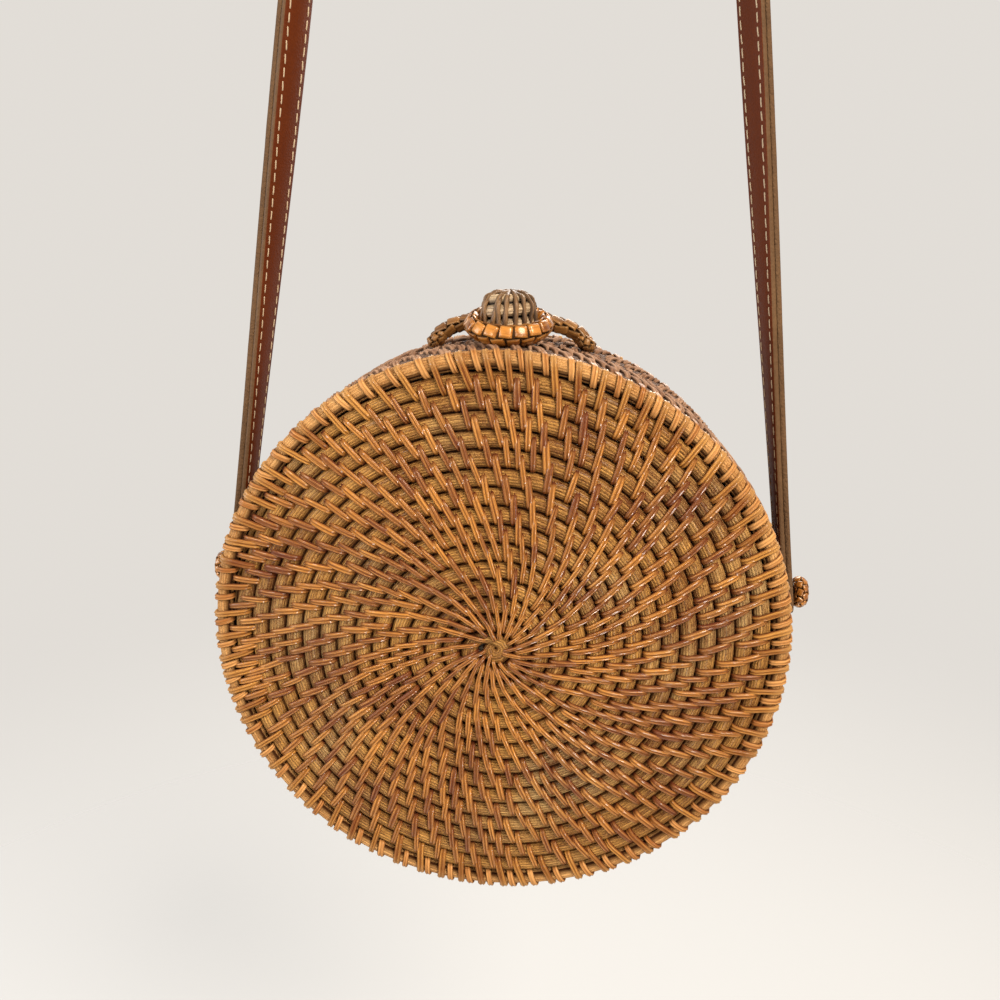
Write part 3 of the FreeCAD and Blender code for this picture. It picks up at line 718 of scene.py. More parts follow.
# Sides: the corner coil, the rows of the wall and the coil at the mouth, each sewn to the next
side = dict(coilHeight=2.6 * mm, sink=2.6 * mm, fill=0.98, stations=230, rowSeed=5.1,
            spanIn=1.48, spanOut=0.27, stitchWidth=2.8 * mm, widthScatter=(0.85, 1.15), lift=0.2 * mm,
            lean=math.radians(17), leanScatter=(0.7, 1.3), seed=19, tintSeed=29)
corner = dict(inset=3.0 * mm, coilWidth=3.1 * mm, coilHeight=2.95 * mm, coilTurn=math.radians(45),
              grainSeed=1.3, stitchWidth=2.05 * mm, thick=1.05 * mm, lean=math.radians(9),
              leanScatter=(0.2, 1.2), drift=0.4, tintSeed=23, rimThick=1.25 * mm, rimTintSeed=29)
mouth = dict(inset=2.9 * mm, shift=0.15 * mm, coilRadius=2.55 * mm, coilTurn=math.radians(-45), grainSeed=2.2,
             count=150, countScatter=0.08, stitchWidth=2.4 * mm, reach=2.85 * mm, rise=1.08, thick=0.26,
             span=math.radians(88), steps=8, lean=math.radians(14), tintSeed=31)
cornerMiddle = Vector((bagRadius - corner["inset"], halfDepth - corner["inset"]))
mouthMiddle = Vector((bagRadius - mouth["inset"], mouthDepth / 2 + mouth["shift"]))
rowStep = (wallDepth - mouthDepth) / wallRows

# Drawn in millimetres out from the bag's edge and up from its face.
# Corner stitch: from the gap beside the corner coil, over the corner and down the wall
cornerLine = [(-6.5, -1.8), (-5.7, -0.15), (-4.2, 0.4), (-1.6, 0.4), (0.0, -0.7), (0.3, -2.8), (0.3, -6.5),
              (0.2, -8.9), (-0.6, -9.9)]
# Rim stitch: from the gap inside the last row of the face to the outer edge of the corner coil
rimLine = [(-13.0, -2.2), (-12.3, -0.7), (-11.2, 0.15), (-8.8, 0.5), (-6.3, 0.4), (-3.6, 0.55), (-1.4, 0.4),
           (-0.1, -0.7), (0.2, -2.2), (-0.5, -3.6)]


def lineSections(line, lean):
    sections = []
    walked = 0
    for index, (x, z) in enumerate(line):
        before = Vector(line[max(0, index - 1)])
        after = Vector(line[min(len(line) - 1, index + 1)])
        run = (after - before).normalized()
        walked += (Vector((x, z)) - before).length
        sections.append((x * mm, z * mm, -run.y, run.x, 1.0, walked * corner["drift"] * math.tan(lean)))
    return sections


cornerStitch = stitchMesh("cornerStitch", lineSections(cornerLine, corner["lean"]), pairCross,
                          corner["thick"])
rimStitch = stitchMesh("rimStitch", lineSections(rimLine, 0), pairCross, corner["rimThick"])
mouthStitch = stitchMesh("mouthStitch", arcSections(mouth["span"], mouth["steps"]), pairCross, mouth["thick"])


# A place on the side with its way out and its way round
def roundSpot(radius, depth, turn, sign):
    radial = Vector((math.cos(turn), 0, math.sin(turn)))
    spot = bagCentre + radial * radius + Vector((0, sign * depth, 0))
    return spot, radial, Vector((-radial.z, 0, radial.x))


def roundCoil(radius, depth, sign, outTurn, halfWidth, halfHeight, seedShift):
    rings = []
    forward = Vector((0, sign, 0))
    for turn in circleTurns(side["stations"]):
        spot, radial = roundSpot(radius, depth, turn, sign)[:2]
        outward = radial * math.cos(outTurn) + forward * math.sin(outTurn)
        across = radial * -math.sin(outTurn) + forward * math.cos(outTurn)
        rings.append(coilRing(spot, outward, across, halfWidth, halfHeight, turn * radius, seedShift))
    return rings, True


def cornerCoil(sign):
    return [roundCoil(*cornerMiddle, sign, corner["coilTurn"], corner["coilWidth"], corner["coilHeight"],
                      corner["grainSeed"] + sign)]


def wallCoils(sign):
    return [roundCoil(bagRadius - side["sink"], mouthDepth + rowStep * (row + 0.5), sign, 0,
                      rowStep / 2 * side["fill"], side["coilHeight"], side["rowSeed"] * row + sign)
            for row in range(wallRows)]


def mouthCoil(sign):
    return [roundCoil(*mouthMiddle, sign, mouth["coilTurn"], mouth["coilRadius"], mouth["coilRadius"],
                      mouth["grainSeed"] + sign)]


def cornerSpots(sign, draws):
    spots = []
    for turns in stitchTurns:
        if math.floor(turns) == face["turns"] + 1:
            spot, radial, around = roundSpot(bagRadius, halfDepth, facing(turns), sign)
            lean = corner["lean"] * draws.uniform(*corner["leanScatter"])
            width = corner["stitchWidth"] * draws.uniform(*side["widthScatter"])
            aim = radial * math.cos(lean) + around * math.sin(lean)
            spots.append((spot, aim, Vector((0, sign, 0)), (1, width, 1)))
    return spots


# The rim stitches lie down on the front's crown
def rimSpots(sign, draws):
    forward = Vector((0, sign, 0))
    tilt = frontCrown / discRadius if sign < 0 else 0
    spots = []
    for turns in stitchTurns:
        if math.floor(turns) == face["turns"]:
            spot, radial, around = roundSpot(bagRadius, halfDepth, facing(turns), sign)
            lean = face["lean"] * draws.uniform(*face["leanScatter"])
            width = face["stitchWidth"] * draws.uniform(*side["widthScatter"])
            aim = (radial - forward * tilt) * math.cos(lean) + around * math.sin(lean)
            shifted = spot + around * math.sin(lean) * facePitch
            spots.append((shifted, aim, forward + radial * tilt, (1, width, 1)))
    return spots


# Rows are counted from the mouth; the one next to the face is under the corner's stitches
def wallSpots(sign, draws):
    length = rowStep * (side["spanIn"] + side["spanOut"])
    spots = []
    for turns in stitchTurns:
        row = face["turns"] + wallRows - math.floor(turns)
        if 0 <= row < wallRows - 1:
            depth = mouthDepth + rowStep * (row + 0.5 + (side["spanIn"] - side["spanOut"]) / 2)
            spot, radial, around = roundSpot(bagRadius, depth, facing(turns), sign)
            lean = side["lean"] * draws.uniform(*side["leanScatter"])
            width = side["stitchWidth"] * draws.uniform(*side["widthScatter"])
            aim = Vector((0, sign, 0)) * -math.cos(lean) + around * math.sin(lean)
            spots.append((spot + radial * side["lift"], aim, radial, (length, width, mm)))
    return spots


def mouthSpots(sign, draws):
    spots = []
    for index in range(mouth["count"]):
        turn = 2 * math.pi * (index + draws.gauss(0, mouth["countScatter"])) / mouth["count"]
        spot, radial, around = roundSpot(*mouthMiddle, turn, sign)
        lean = mouth["lean"] * draws.uniform(*side["leanScatter"])
        width = mouth["stitchWidth"] * draws.uniform(*side["widthScatter"])
        aim = Vector((0, sign, 0)) * -math.cos(lean) + around * math.sin(lean)
        spots.append((spot, aim, radial, (mouth["reach"], width, mouth["reach"] * mouth["rise"])))
    return spots


def weaveSide(half, sign):
    draws = random.Random(side["seed"] + sign)
    for name, coils, finish, node, slot in (
            ("_corner_core", cornerCoil(sign), "cornerCoil", "_corner_coil", "face_cane"),
            ("_wall_coil", wallCoils(sign), "sideCoil", "_wall", "side_cane"),
            ("_mouth_core", mouthCoil(sign), "mouthCoil", "_mouth_coil", "side_cane")):
        piece = addTint(skins(half + name, coils, caneFinish[finish]))
        settle(piece, half + "_half", [half + node])
    for name, findSpots, strip, finish, seed, node, slot in (
            ("_corner_stitches", cornerSpots, cornerStitch, "cornerStrip", corner["tintSeed"],
             "_corner_coil", "face_cane"),
            ("_rim_stitches", rimSpots, rimStitch, "rimStrip", corner["rimTintSeed"],
             "_corner_coil", "face_cane"),
            ("_wall_stitches", wallSpots, faceStitch, "sideStrip", side["tintSeed"],
             "_wall", "side_cane"),
            ("_mouth_stitches", mouthSpots, mouthStitch, "sideStrip", mouth["tintSeed"],
             "_mouth_coil", "side_cane")):
        piece = layStitches(half + name, findSpots(sign, draws), strip, caneFinish[finish], seed)
        settle(piece, half + "_half", [half + node])


weaveSide("front", -1)
weaveSide("back", 1)
print("sides woven")

# Closure knob: a short coil wound up on itself, held by upright wraps; its lines are in millimetres
knob = dict(height=15.4 * mm, coilRadius=2.2 * mm, turns=4.2, stations=46, slopeReach=0.02, uvLength=0.16,
            grainSeed=4.4, neck=[(-7.4, 5.2), (-2.0, 5.2), (1.0, 6.5), (3.0, 6.0)], neckSides=20,
            neckAcross=0.2, wraps=19, wrapWidth=1.8 * mm, wrapThick=1.4 * mm, wrapSteps=22, wrapScatter=0.16,
            drift=0.22, lastScatter=(0.84, 1.0), wrapSlopeReach=0.03, ripple=0.3, rippleTurns=3.5, seed=5,
            wrapShape=[(-1, 0), (-0.6, 0.8), (0, 1), (0.6, 0.8), (1, 0), (0.6, -0.8), (-0.6, -0.8)],
            wrapLine=[(5.6, -1.0), (7.6, 0.6), (8.8, 2.6), (9.1, 5.6), (9.0, 9.0), (8.5, 11.8), (7.2, 13.7),
                      (4.8, 14.8), (2.0, 15.1), (0.5, 15.1)],
            coilLine=[(6.5, 2.6), (7.0, 5.2), (6.9, 9.2), (6.0, 12.1), (2.9, 13.0), (0.6, 12.9)])
knobLow, knobHigh = (Vector(spot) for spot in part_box("closure_knob"))
knobSeat = Vector((bagCentre.x, (knobLow.y + knobHigh.y) / 2, knobHigh.z - knob["height"]))


# A point a share of the way along a line of points, smoothed
def alongLine(line, share):
    reach = max(0, min(1, share)) * (len(line) - 1)
    index = min(int(reach), len(line) - 2)
    part = reach - index
    before = Vector(line[max(0, index - 1)])
    low, high = Vector(line[index]), Vector(line[index + 1])
    after = Vector(line[min(len(line) - 1, index + 2)])
    return 0.5 * ((2 * low) + (high - before) * part + (2 * before - 5 * low + 4 * high - after) * part ** 2
                  + (3 * low - before - 3 * high + after) * part ** 3)


def lineSlope(line, share, reach):
    return (alongLine(line, min(1, share + reach)) - alongLine(line, max(0, share - reach))).normalized()


def knobCoil():
    rings = []
    count = int(knob["stations"] * knob["turns"])
    for index in range(count + 1):
        share = index / count
        radius, height = alongLine(knob["coilLine"], share)
        slope = lineSlope(knob["coilLine"], share, knob["slopeReach"])
        turn = share * knob["turns"] * 2 * math.pi
        radial = Vector((math.cos(turn), math.sin(turn), 0))
        outward = radial * slope.y - upAxis * slope.x
        across = radial * slope.x + upAxis * slope.y
        spot = knobSeat + radial * radius * mm + upAxis * height * mm
        rings.append(coilRing(spot, outward, across, knob["coilRadius"], knob["coilRadius"],
                              share * knob["uvLength"], knob["grainSeed"]))
    neck = []
    for height, radius in knob["neck"]:
        points = []
        for turn in circleTurns(knob["neckSides"]):
            place = Vector((math.cos(turn) * radius * mm, math.sin(turn) * radius * mm, height * mm))
            points.append((knobSeat + place, turn, knob["neckAcross"]))
        neck.append(points)
    return addTint(skins("closure_knob_coil", [(rings, False), (neck, False)], caneFinish["knobCoil"]))


def knobWraps():
    draws = random.Random(knob["seed"])
    parts = []
    for index in range(knob["wraps"]):
        turn = 2 * math.pi * (index + draws.gauss(0, knob["wrapScatter"])) / knob["wraps"]
        drift = draws.gauss(0, knob["drift"])
        last = draws.uniform(*knob["lastScatter"])
        rings = []
        for step in range(knob["wrapSteps"] + 1):
            share = last * step / knob["wrapSteps"]
            radius, height = alongLine(knob["wrapLine"], share)
            slope = lineSlope(knob["wrapLine"], share, knob["wrapSlopeReach"])
            here = turn + drift * share
            radial = Vector((math.cos(here), math.sin(here), 0))
            around = Vector((-radial.y, radial.x, 0))
            outward = radial * slope.y - upAxis * slope.x
            weave = share * knob["rippleTurns"] * 2 * math.pi + (index % 2) * math.pi
            ripple = knob["ripple"] * math.sin(weave)
            centre = knobSeat + radial * (radius * mm) + upAxis * (height * mm) + outward * (ripple * mm)
            rings.append(shapeRing(centre, around, knob["wrapWidth"] / 2, outward, knob["wrapThick"] / 2,
                                   knob["wrapShape"], share))
        parts.append((rings, False))
    return addTint(skins("closure_knob_wraps", parts, caneFinish["knobWrap"]))


for piece in (knobCoil(), knobWraps()):
    settle(piece, "front_half", ["closure_knob", "knob_tie"])

# Plait: flat facets in rows over a core painted dark as shade, on the ring, its bar, the bar's feet and the
# buttons
plait = dict(facetHeight=0.75 * mm, facetFill=1.05, facetThick=0.9, leanScatter=0.05,
             lengthScatter=(0.95, 1.05), coreStep=0.1, coreSides=12, seed=13)
# A facet of plait: a flat strip that is folded under at both ends
facet = stitchMesh("facet", [
    (-0.5, -0.9, 0, 1, 0.86), (-0.43, -0.05, 0, 1, 0.96), (-0.3, 0.22, 0, 1, 1), (0.3, 0.22, 0, 1, 1),
    (0.43, -0.05, 0, 1, 0.96), (0.5, -0.9, 0, 1, 0.86)], flatCross, plait["facetThick"])
plaitDraws = random.Random(plait["seed"])


def tubeRings(path, radius, sides=plait["coreSides"], tall=1.0):
    rings = []
    for index, (spot, outward, across) in enumerate(path):
        points = []
        for turn in circleTurns(sides):
            place = spot + outward * (math.sin(turn) * radius) + across * (math.cos(turn) * radius * tall)
            points.append((place, index * plait["coreStep"], 0.5))
        rings.append(points)
    return rings


# Facets on a tube that follows path; odd rows sit half a facet along
def facetSpots(path, closed, weave, tall=1.0):
    radius, rows = weave["plait"], weave["rows"]
    width = math.pi * radius * (1 + tall) / rows * plait["facetFill"]
    spots = []
    count = len(path)
    for row in range(rows):
        turn = 2 * math.pi * row / rows + weave.get("firstTurn", 0.0)
        for index in range(count):
            if not closed and index == count - 1 and row % 2:
                continue
            spot, outward, across = path[index]
            if row % 2:
                nextSpot, nextOut, nextAcross = path[(index + 1) % count]
                spot = (spot + nextSpot) / 2
                outward = (outward + nextOut).normalized()
                across = (across + nextAcross).normalized()
            normal = (outward * math.sin(turn) * tall + across * math.cos(turn)).normalized()
            place = outward * math.sin(turn) + across * (math.cos(turn) * tall)
            tangent = outward.cross(across)
            lean = weave["lean"] * (1 if row % 2 else -1) + plaitDraws.gauss(0, plait["leanScatter"])
            aim = tangent * math.cos(lean) + normal.cross(tangent) * math.sin(lean)
            length = weave["facet"] * plaitDraws.uniform(*plait["lengthScatter"])
            spots.append((spot + place * radius, aim, normal, (length, width, plait["facetHeight"])))
    return spots


def settlePlait(name, coreParts, spots, finish, seed, body, node):
    # The core is painted dark as shade
    core = addTint(skins(name + "_core", coreParts, caneFinish["braidCoreShade"]))
    strips = layStitches(name + "_plait", spots, facet, caneFinish[finish], seed)
    for piece in (core, strips):
        settle(piece, body, [node])


# Bar behind the ring, drawn in millimetres from the bag's centre, and the eye by which the ring hangs on it
bar = dict(tube=1.95 * mm, core=0.86, plaitShare=1.02, stations=25, facets=13, rows=4, facet=5.4 * mm,
           lean=0.3, firstTurn=0.6, eyeClear=5.6 * mm, slopeReach=0.02, tintSeed=41,
           line=[(-27.0, 98.8), (-24.6, 102.0), (-20.4, 104.4), (-15.6, 105.7), (-11.0, 107.2), (-6.5, 109.8),
                 (0.0, 110.2), (6.5, 109.8), (11.0, 107.2), (15.6, 105.7), (20.4, 104.4), (24.6, 102.0),
                 (27.0, 98.8)])
bar["plait"] = bar["tube"] * bar["plaitShare"]
eye = dict(places=(-4.6, -2.3, 0, 2.3, 4.6), plait=2.9 * mm, rows=6, facet=2.7 * mm, lean=0.2)
barLow, barHigh = (Vector(spot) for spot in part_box("ring_bar"))
barMiddle = Vector((bagCentre.x, (barLow.y + barHigh.y) / 2, barHigh.z - bar["tube"]))

# Ring round the knob
claspRing = dict(radius=12.4 * mm, tube=2.5 * mm, core=0.8, plaitShare=0.84, tall=1.3, reach=16.7 * mm,
                 tilt=math.radians(13.2), stations=48, facets=17, rows=4, lean=0.14,
                 firstTurn=math.radians(48), tintSeed=37)
claspRing["plait"] = claspRing["tube"] * claspRing["plaitShare"]
claspRing["facet"] = 2 * math.pi * claspRing["radius"] / claspRing["facets"]
ringFlat = Vector((0, math.cos(claspRing["tilt"]), math.sin(claspRing["tilt"])))
ringUp = Vector((0, -math.sin(claspRing["tilt"]), math.cos(claspRing["tilt"])))
ringMiddle = barMiddle - ringFlat * claspRing["reach"]


def ringPath(count):
    path = []
    for turn in circleTurns(count):
        radial = Vector((1, 0, 0)) * math.sin(turn) - ringFlat * math.cos(turn)
        path.append((ringMiddle + radial * claspRing["radius"], radial, ringUp))
    return path


def barPath(count):
    path = []
    for index in range(count):
        share = index / (count - 1)
        x, z = alongLine(bar["line"], share)
        ahead = lineSlope(bar["line"], share, bar["slopeReach"])
        spot = Vector((bagCentre.x + x * mm, barMiddle.y, bagCentre.z + z * mm))
        path.append((spot, wayForward, Vector((-ahead.y, 0, ahead.x))))
    return path


eyePath = [(barMiddle + Vector((x * mm, 0, 0)), wayForward, upAxis) for x in eye["places"]]
eyeSpots = facetSpots(eyePath, False, eye)
ringSpots = facetSpots(ringPath(claspRing["facets"]), True, claspRing, claspRing["tall"])
ringTube = tubeRings(ringPath(claspRing["stations"]), claspRing["tube"] * claspRing["core"],
                     tall=claspRing["tall"])
settlePlait("closure_ring", [(ringTube, True)], ringSpots + eyeSpots, "braidStrip", claspRing["tintSeed"],
            "clasp_ring", "closure_ring")

armSpots = [spot for spot in facetSpots(barPath(bar["facets"]), False, bar)
            if abs(spot[0].x - bagCentre.x) > bar["eyeClear"]]
barTube = tubeRings(barPath(bar["stations"]), bar["tube"] * bar["core"])
# The bar's plait is darkened with painted shade
settlePlait("ring_bar", [(barTube, False)], armSpots, "barStripShaded", bar["tintSeed"], "back_half", "ring_bar")


# A roll of plait: a small ring of facets about a centre, with a middle painted dark as shade
def rollPath(middle, axis, start, radius, count):
    path = []
    other = axis.cross(start)
    for turn in circleTurns(count):
        radial = start * math.cos(turn) + other * math.sin(turn)
        path.append((middle + radial * radius, radial, axis))
    return path


# Knots at the bar's feet, placed from the bag's centre
knot = dict(out=26.8 * mm, up=99.6 * mm, leanOut=0.62, leanUp=0.78, radius=1.9 * mm, core=1.6 * mm,
            stations=16, sides=8, plait=1.75 * mm, facets=7, rows=5, facet=2.4 * mm, lean=0.4, tintSeed=43)
knotSpots, knotParts = [], []
for sign in (-1, 1):
    axis = Vector((sign * knot["leanOut"], 0, knot["leanUp"])).normalized()
    middle = Vector((bagCentre.x + sign * knot["out"], barMiddle.y, bagCentre.z + knot["up"]))
    corePath, plaitPath = (rollPath(middle, axis, -wayForward, knot["radius"], count)
                           for count in (knot["stations"], knot["facets"]))
    knotParts.append((tubeRings(corePath, knot["core"], knot["sides"]), True))
    knotSpots += facetSpots(plaitPath, True, knot)
# The knots' plait is darkened with painted shade, like the bar's
settlePlait("bar_foot_knot", knotParts, knotSpots, "barStripShaded", knot["tintSeed"], "back_half",
            "bar_foot_knots")

# Strap buttons: a roll on a stem outside the strap, and a collar inside it
button = dict(radius=3.5 * mm, core=2.0 * mm, stations=20, sides=10, inset=2.6 * mm, plait=2.1 * mm,
              facets=10, rows=6, facet=2.7 * mm, lean=0.4, stem=2.3 * mm, stemInset=3 * mm, stemSides=14,
              tintSeed=47)
collar = dict(out=101.6 * mm, radius=2.9 * mm, plait=1.3 * mm, facets=9, rows=4, facet=2.5 * mm, lean=0.3)
for name, sign in (("left", -1), ("right", 1)):
    low, high = (Vector(spot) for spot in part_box(name + "_strap_button"))
    middle = (low + high) / 2
    axis = Vector((sign, 0, 0))
    start, end = (low.x, high.x) if sign > 0 else (high.x, low.x)
    rollMiddle = Vector((end - sign * button["inset"], middle.y, middle.z))
    corePath = rollPath(rollMiddle, axis, upAxis, button["radius"], button["stations"])
    stemPath = [(Vector((x, middle.y, middle.z)), upAxis, -wayForward)
                for x in (start, end - sign * button["stemInset"])]
    parts = [(tubeRings(corePath, button["core"], button["sides"]), True),
             (tubeRings(stemPath, button["stem"], button["stemSides"]), False)]
    plaitPath = rollPath(rollMiddle, axis, upAxis, button["radius"], button["facets"])
    collarMiddle = Vector((bagCentre.x + sign * collar["out"], middle.y, middle.z))
    collarPath = rollPath(collarMiddle, axis, upAxis, collar["radius"], collar["facets"])
    spots = facetSpots(plaitPath, True, button) + facetSpots(collarPath, True, collar)
    settlePlait(name + "_button", parts, spots, "braidStrip", button["tintSeed"], "back_half",
                name + "_strap_button")
print("clasp and buttons plaited")

# Hinge under the seam: a cane and the strips lashed round it, with tails up into the weave
hinge = dict(cane=2.45 * mm, caneSteps=28, caneSides=20, caneTint=0.8, uvAlong=10, knuckle=0.07,
             knuckleAt=21 * mm, knuckleWidth=1.2 * mm, endTrim=0.25, loop=3.55 * mm, loops=4, loopStep=1.03,
             steps=36, uvRound=0.02, stripWidth=1.9 * mm, stripThick=0.9 * mm, stripTint=0.45,
             places=dict(front=(-26, 0, 26), back=(-13, 13)),
             stripShape=[(-1, -0.8), (-1, 0.3), (-0.6, 1), (0.6, 1), (1, 0.3), (1, -0.8)],
             tailSteps=4, tailFrom=(1.2, 2.6), tailRun=(3.6, 7.4), tailNormal=(0.35, -0.94),
             tailThick=1.0 * mm, uvTail=0.4, tailShape=[(-1, -1), (-0.8, 1), (0.8, 1), (1, -1)])
caneLow, caneHigh = (Vector(spot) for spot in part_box("hinge_cane"))
caneMiddle = (caneLow + caneHigh) / 2


def hingeCane():
    rings = []
    for index in range(hinge["caneSteps"] + 1):
        x = caneLow.x + (caneHigh.x - caneLow.x) * index / hinge["caneSteps"]
        fromKnuckle = (abs(x) - hinge["knuckleAt"]) / hinge["knuckleWidth"]
        swell = 1 + hinge["knuckle"] * math.exp(-fromKnuckle ** 2)
        if index in (0, hinge["caneSteps"]):
            swell -= hinge["endTrim"]
        points = []
        for place, turn in enumerate(circleTurns(hinge["caneSides"])):
            y = caneMiddle.y + math.cos(turn) * hinge["cane"] * swell
            z = caneMiddle.z + math.sin(turn) * hinge["cane"] * swell
            points.append((Vector((x, y, z)), x * hinge["uvAlong"], place / hinge["caneSides"]))
        rings.append(points)
    return addTint(skins("hinge_cane_rod", [(rings, False)], caneFinish["bindingStrip"]), hinge["caneTint"])


def lashing(x, sign):
    parts = []
    along = Vector((1, 0, 0))
    halfWidth = hinge["stripWidth"] / 2
    tailNormal = Vector((0, sign * hinge["tailNormal"][0], hinge["tailNormal"][1])).normalized()
    for index in range(hinge["loops"]):
        place = x + (index - (hinge["loops"] - 1) / 2) * hinge["stripWidth"] * hinge["loopStep"]
        loop = []
        for turn in circleTurns(hinge["steps"]):
            radial = Vector((0, math.cos(turn), math.sin(turn)))
            centre = Vector((place, caneMiddle.y, caneMiddle.z)) + radial * hinge["loop"]
            loop.append(shapeRing(centre, along, halfWidth, radial, hinge["stripThick"] / 2,
                                  hinge["stripShape"], turn * hinge["uvRound"]))
        tail = []
        for step in range(hinge["tailSteps"] + 1):
            share = step / hinge["tailSteps"]
            out, up = (start + run * share for start, run in zip(hinge["tailFrom"], hinge["tailRun"]))
            spot = Vector((place, caneMiddle.y + sign * out * mm, caneMiddle.z + up * mm))
            tail.append(shapeRing(spot, along, halfWidth, tailNormal, hinge["tailThick"] / 2,
                                  hinge["tailShape"], share * hinge["uvTail"]))
        parts += [(loop, True), (tail, False)]
    return parts


settle(hingeCane(), "front_half", ["hinge_cane"])
for half, sign in (("front", -1), ("back", 1)):
    parts = [part for place in hinge["places"][half] for part in lashing(bagCentre.x + place * mm, sign)]
    strips = addTint(skins(half + "_hinge_strips", parts, caneFinish["bindingStrip"]), hinge["stripTint"])
    settle(strips, half + "_half", [half + "_hinge_lashings"])
print("hinge lashed")


# Leather: grain with fine pores and creases, or a rough raw side; cut edges are raw too
hide = dict(mottleScale=45.0, mottleDetail=5.0, mottleRough=0.6, fineShare=0.9, fineDetail=3.0, fineSwing=0.7,
            fineDulls=0.25, poreDepth=1.2, relief=0.4 * mm,
            raw=dict(pale=(0.17, 0.090, 0.040), deep=(0.065, 0.031, 0.013), pores=700.0, bump=0.9,
                     rough=0.73, sheen=0.2),
            grain=dict(pale=(0.118, 0.023, 0.003), deep=(0.070, 0.011, 0.001), pores=900.0, bump=0.3,
                       rough=0.43, sheen=0.11))


def leatherMaterial(name, look):
    material, tree, shader = newMaterial(name)
    place = objectPlace(tree)
    pores = addNode(tree, "ShaderNodeTexVoronoi", {"Vector": place, "Scale": look["pores"]},
                    feature="DISTANCE_TO_EDGE").outputs[0]
    mottle = noiseNode(tree, place, hide["mottleScale"], hide["mottleDetail"], hide["mottleRough"])
    fine = noiseNode(tree, place, look["pores"] * hide["fineShare"], hide["fineDetail"])
    blend = mathNode(tree, "ADD", mottle, swing(tree, fine, hide["fineSwing"]), True)
    skinColour, cutColour = (mixColour(tree, blend, (*part["deep"], 1), (*part["pale"], 1))
                             for part in (look, hide["raw"]))
    cut = addNode(tree, "ShaderNodeAttribute", attribute_name="cut").outputs["Fac"]
    link(tree, mixColour(tree, cut, skinColour, cutColour), shader.inputs["Base Color"])
    rough = mathNode(tree, "ADD", mathNode(tree, "MULTIPLY", fine, hide["fineDulls"]), look["rough"])
    link(tree, rough, shader.inputs["Roughness"])
    height = mathNode(tree, "ADD", mathNode(tree, "MULTIPLY", pores, hide["poreDepth"]), fine)
    addBump(tree, shader, look["bump"], hide["relief"], height)
    setInputs(shader, {"Specular IOR Level": look["sheen"]})
    return material


grainLeather = leatherMaterial("grainLeather", hide["grain"])
rawLeather = leatherMaterial("rawLeather", hide["raw"])

# Shoulder strap: two layers sewn together, turned a little between the buttons and the top
strap = dict(width=13 * mm, layer=2 * mm, gap=0.02 * mm, archRadius=22 * mm, archSteps=24, step=7 * mm,
             tab=8.6 * mm, endRadius=5.5 * mm, endSteps=5, legTurn=math.radians(8.743),
             buttonOut=105 * mm, buttonUp=7 * mm, twist=math.radians(25), twistFrom=12 * mm,
             twistRise=200 * mm, twistFall=0.8, ragged=0.12 * mm, raggedAlong=160, raggedAcross=900,
             raggedSeed=3.0)
# Cross section of a layer, and which of its sides are cut edges
layerShape = [(-1, 0.12), (-1, 0.88), (-0.95, 1), (-0.35, 1.03), (0.35, 1.03), (0.95, 1), (1, 0.88),
              (1, 0.12), (0.95, 0), (-0.95, 0)]
cutSides = (0, 1, 5, 6)
archMiddle = Vector((0, 0, -strap["archRadius"]))
buttonPlace = Vector((strap["buttonOut"], 0, bagCentre.z + strap["buttonUp"]))
legUp = Vector((-math.sin(strap["legTurn"]), 0, math.cos(strap["legTurn"])))
legOut = Vector((math.cos(strap["legTurn"]), 0, math.sin(strap["legTurn"])))
legTop = archMiddle + legOut * strap["archRadius"]
legLength = (legTop - buttonPlace).dot(legUp)


# The strap's inner face, from the right tab over the arch to the left: place, way along, way out, rise
def strapLine():
    tab, endRadius = strap["tab"], strap["endRadius"]
    count = int((legLength + tab) / strap["step"])
    rises = [-tab + endRadius * (1 - math.cos(math.pi / 2 * index / strap["endSteps"]))
             for index in range(strap["endSteps"])]
    rises += [-tab + endRadius + (legLength + tab - endRadius) * index / count for index in range(count + 1)]
    line = [(legTop + legUp * (rise - legLength), legUp, legOut, rise) for rise in rises]
    for index in range(1, strap["archSteps"]):
        turn = strap["legTurn"] + (math.pi - 2 * strap["legTurn"]) * index / strap["archSteps"]
        outward = Vector((math.cos(turn), 0, math.sin(turn)))
        along = Vector((-outward.z, 0, outward.x))
        line.append((archMiddle + outward * strap["archRadius"], along, outward, legLength))
    flip = Matrix.Scale(-1, 3, Vector((1, 0, 0)))
    for rise in reversed(rises):
        line.append((flip @ (legTop + legUp * (rise - legLength)), flip @ -legUp, flip @ legOut, rise))
    return line


# Stations between the two layers, turned: place, way along, way out, way across, rise above the button
def strapStations():
    stations = []
    for spot, along, outward, rise in strapLine():
        start = min(1, max(0, rise - strap["twistFrom"]) / strap["twistRise"])
        finish = min(1, max(0, legLength - rise) / (strap["twistRise"] * strap["twistFall"]))
        share = start * finish
        twist = strap["twist"] * share * share * (3 - 2 * share)
        hand = -1 if spot.x > 0 else 1
        across = Vector((0, 1, 0)) * math.cos(twist) + Vector((hand, 0, 0)) * math.sin(twist)
        across = (across - along * across.dot(along)).normalized()
        turnedOut = along.cross(across).normalized()
        if turnedOut.dot(outward) < 0:
            turnedOut = -turnedOut
        stations.append((spot + outward * strap["layer"], along, turnedOut, across, rise))
    return stations


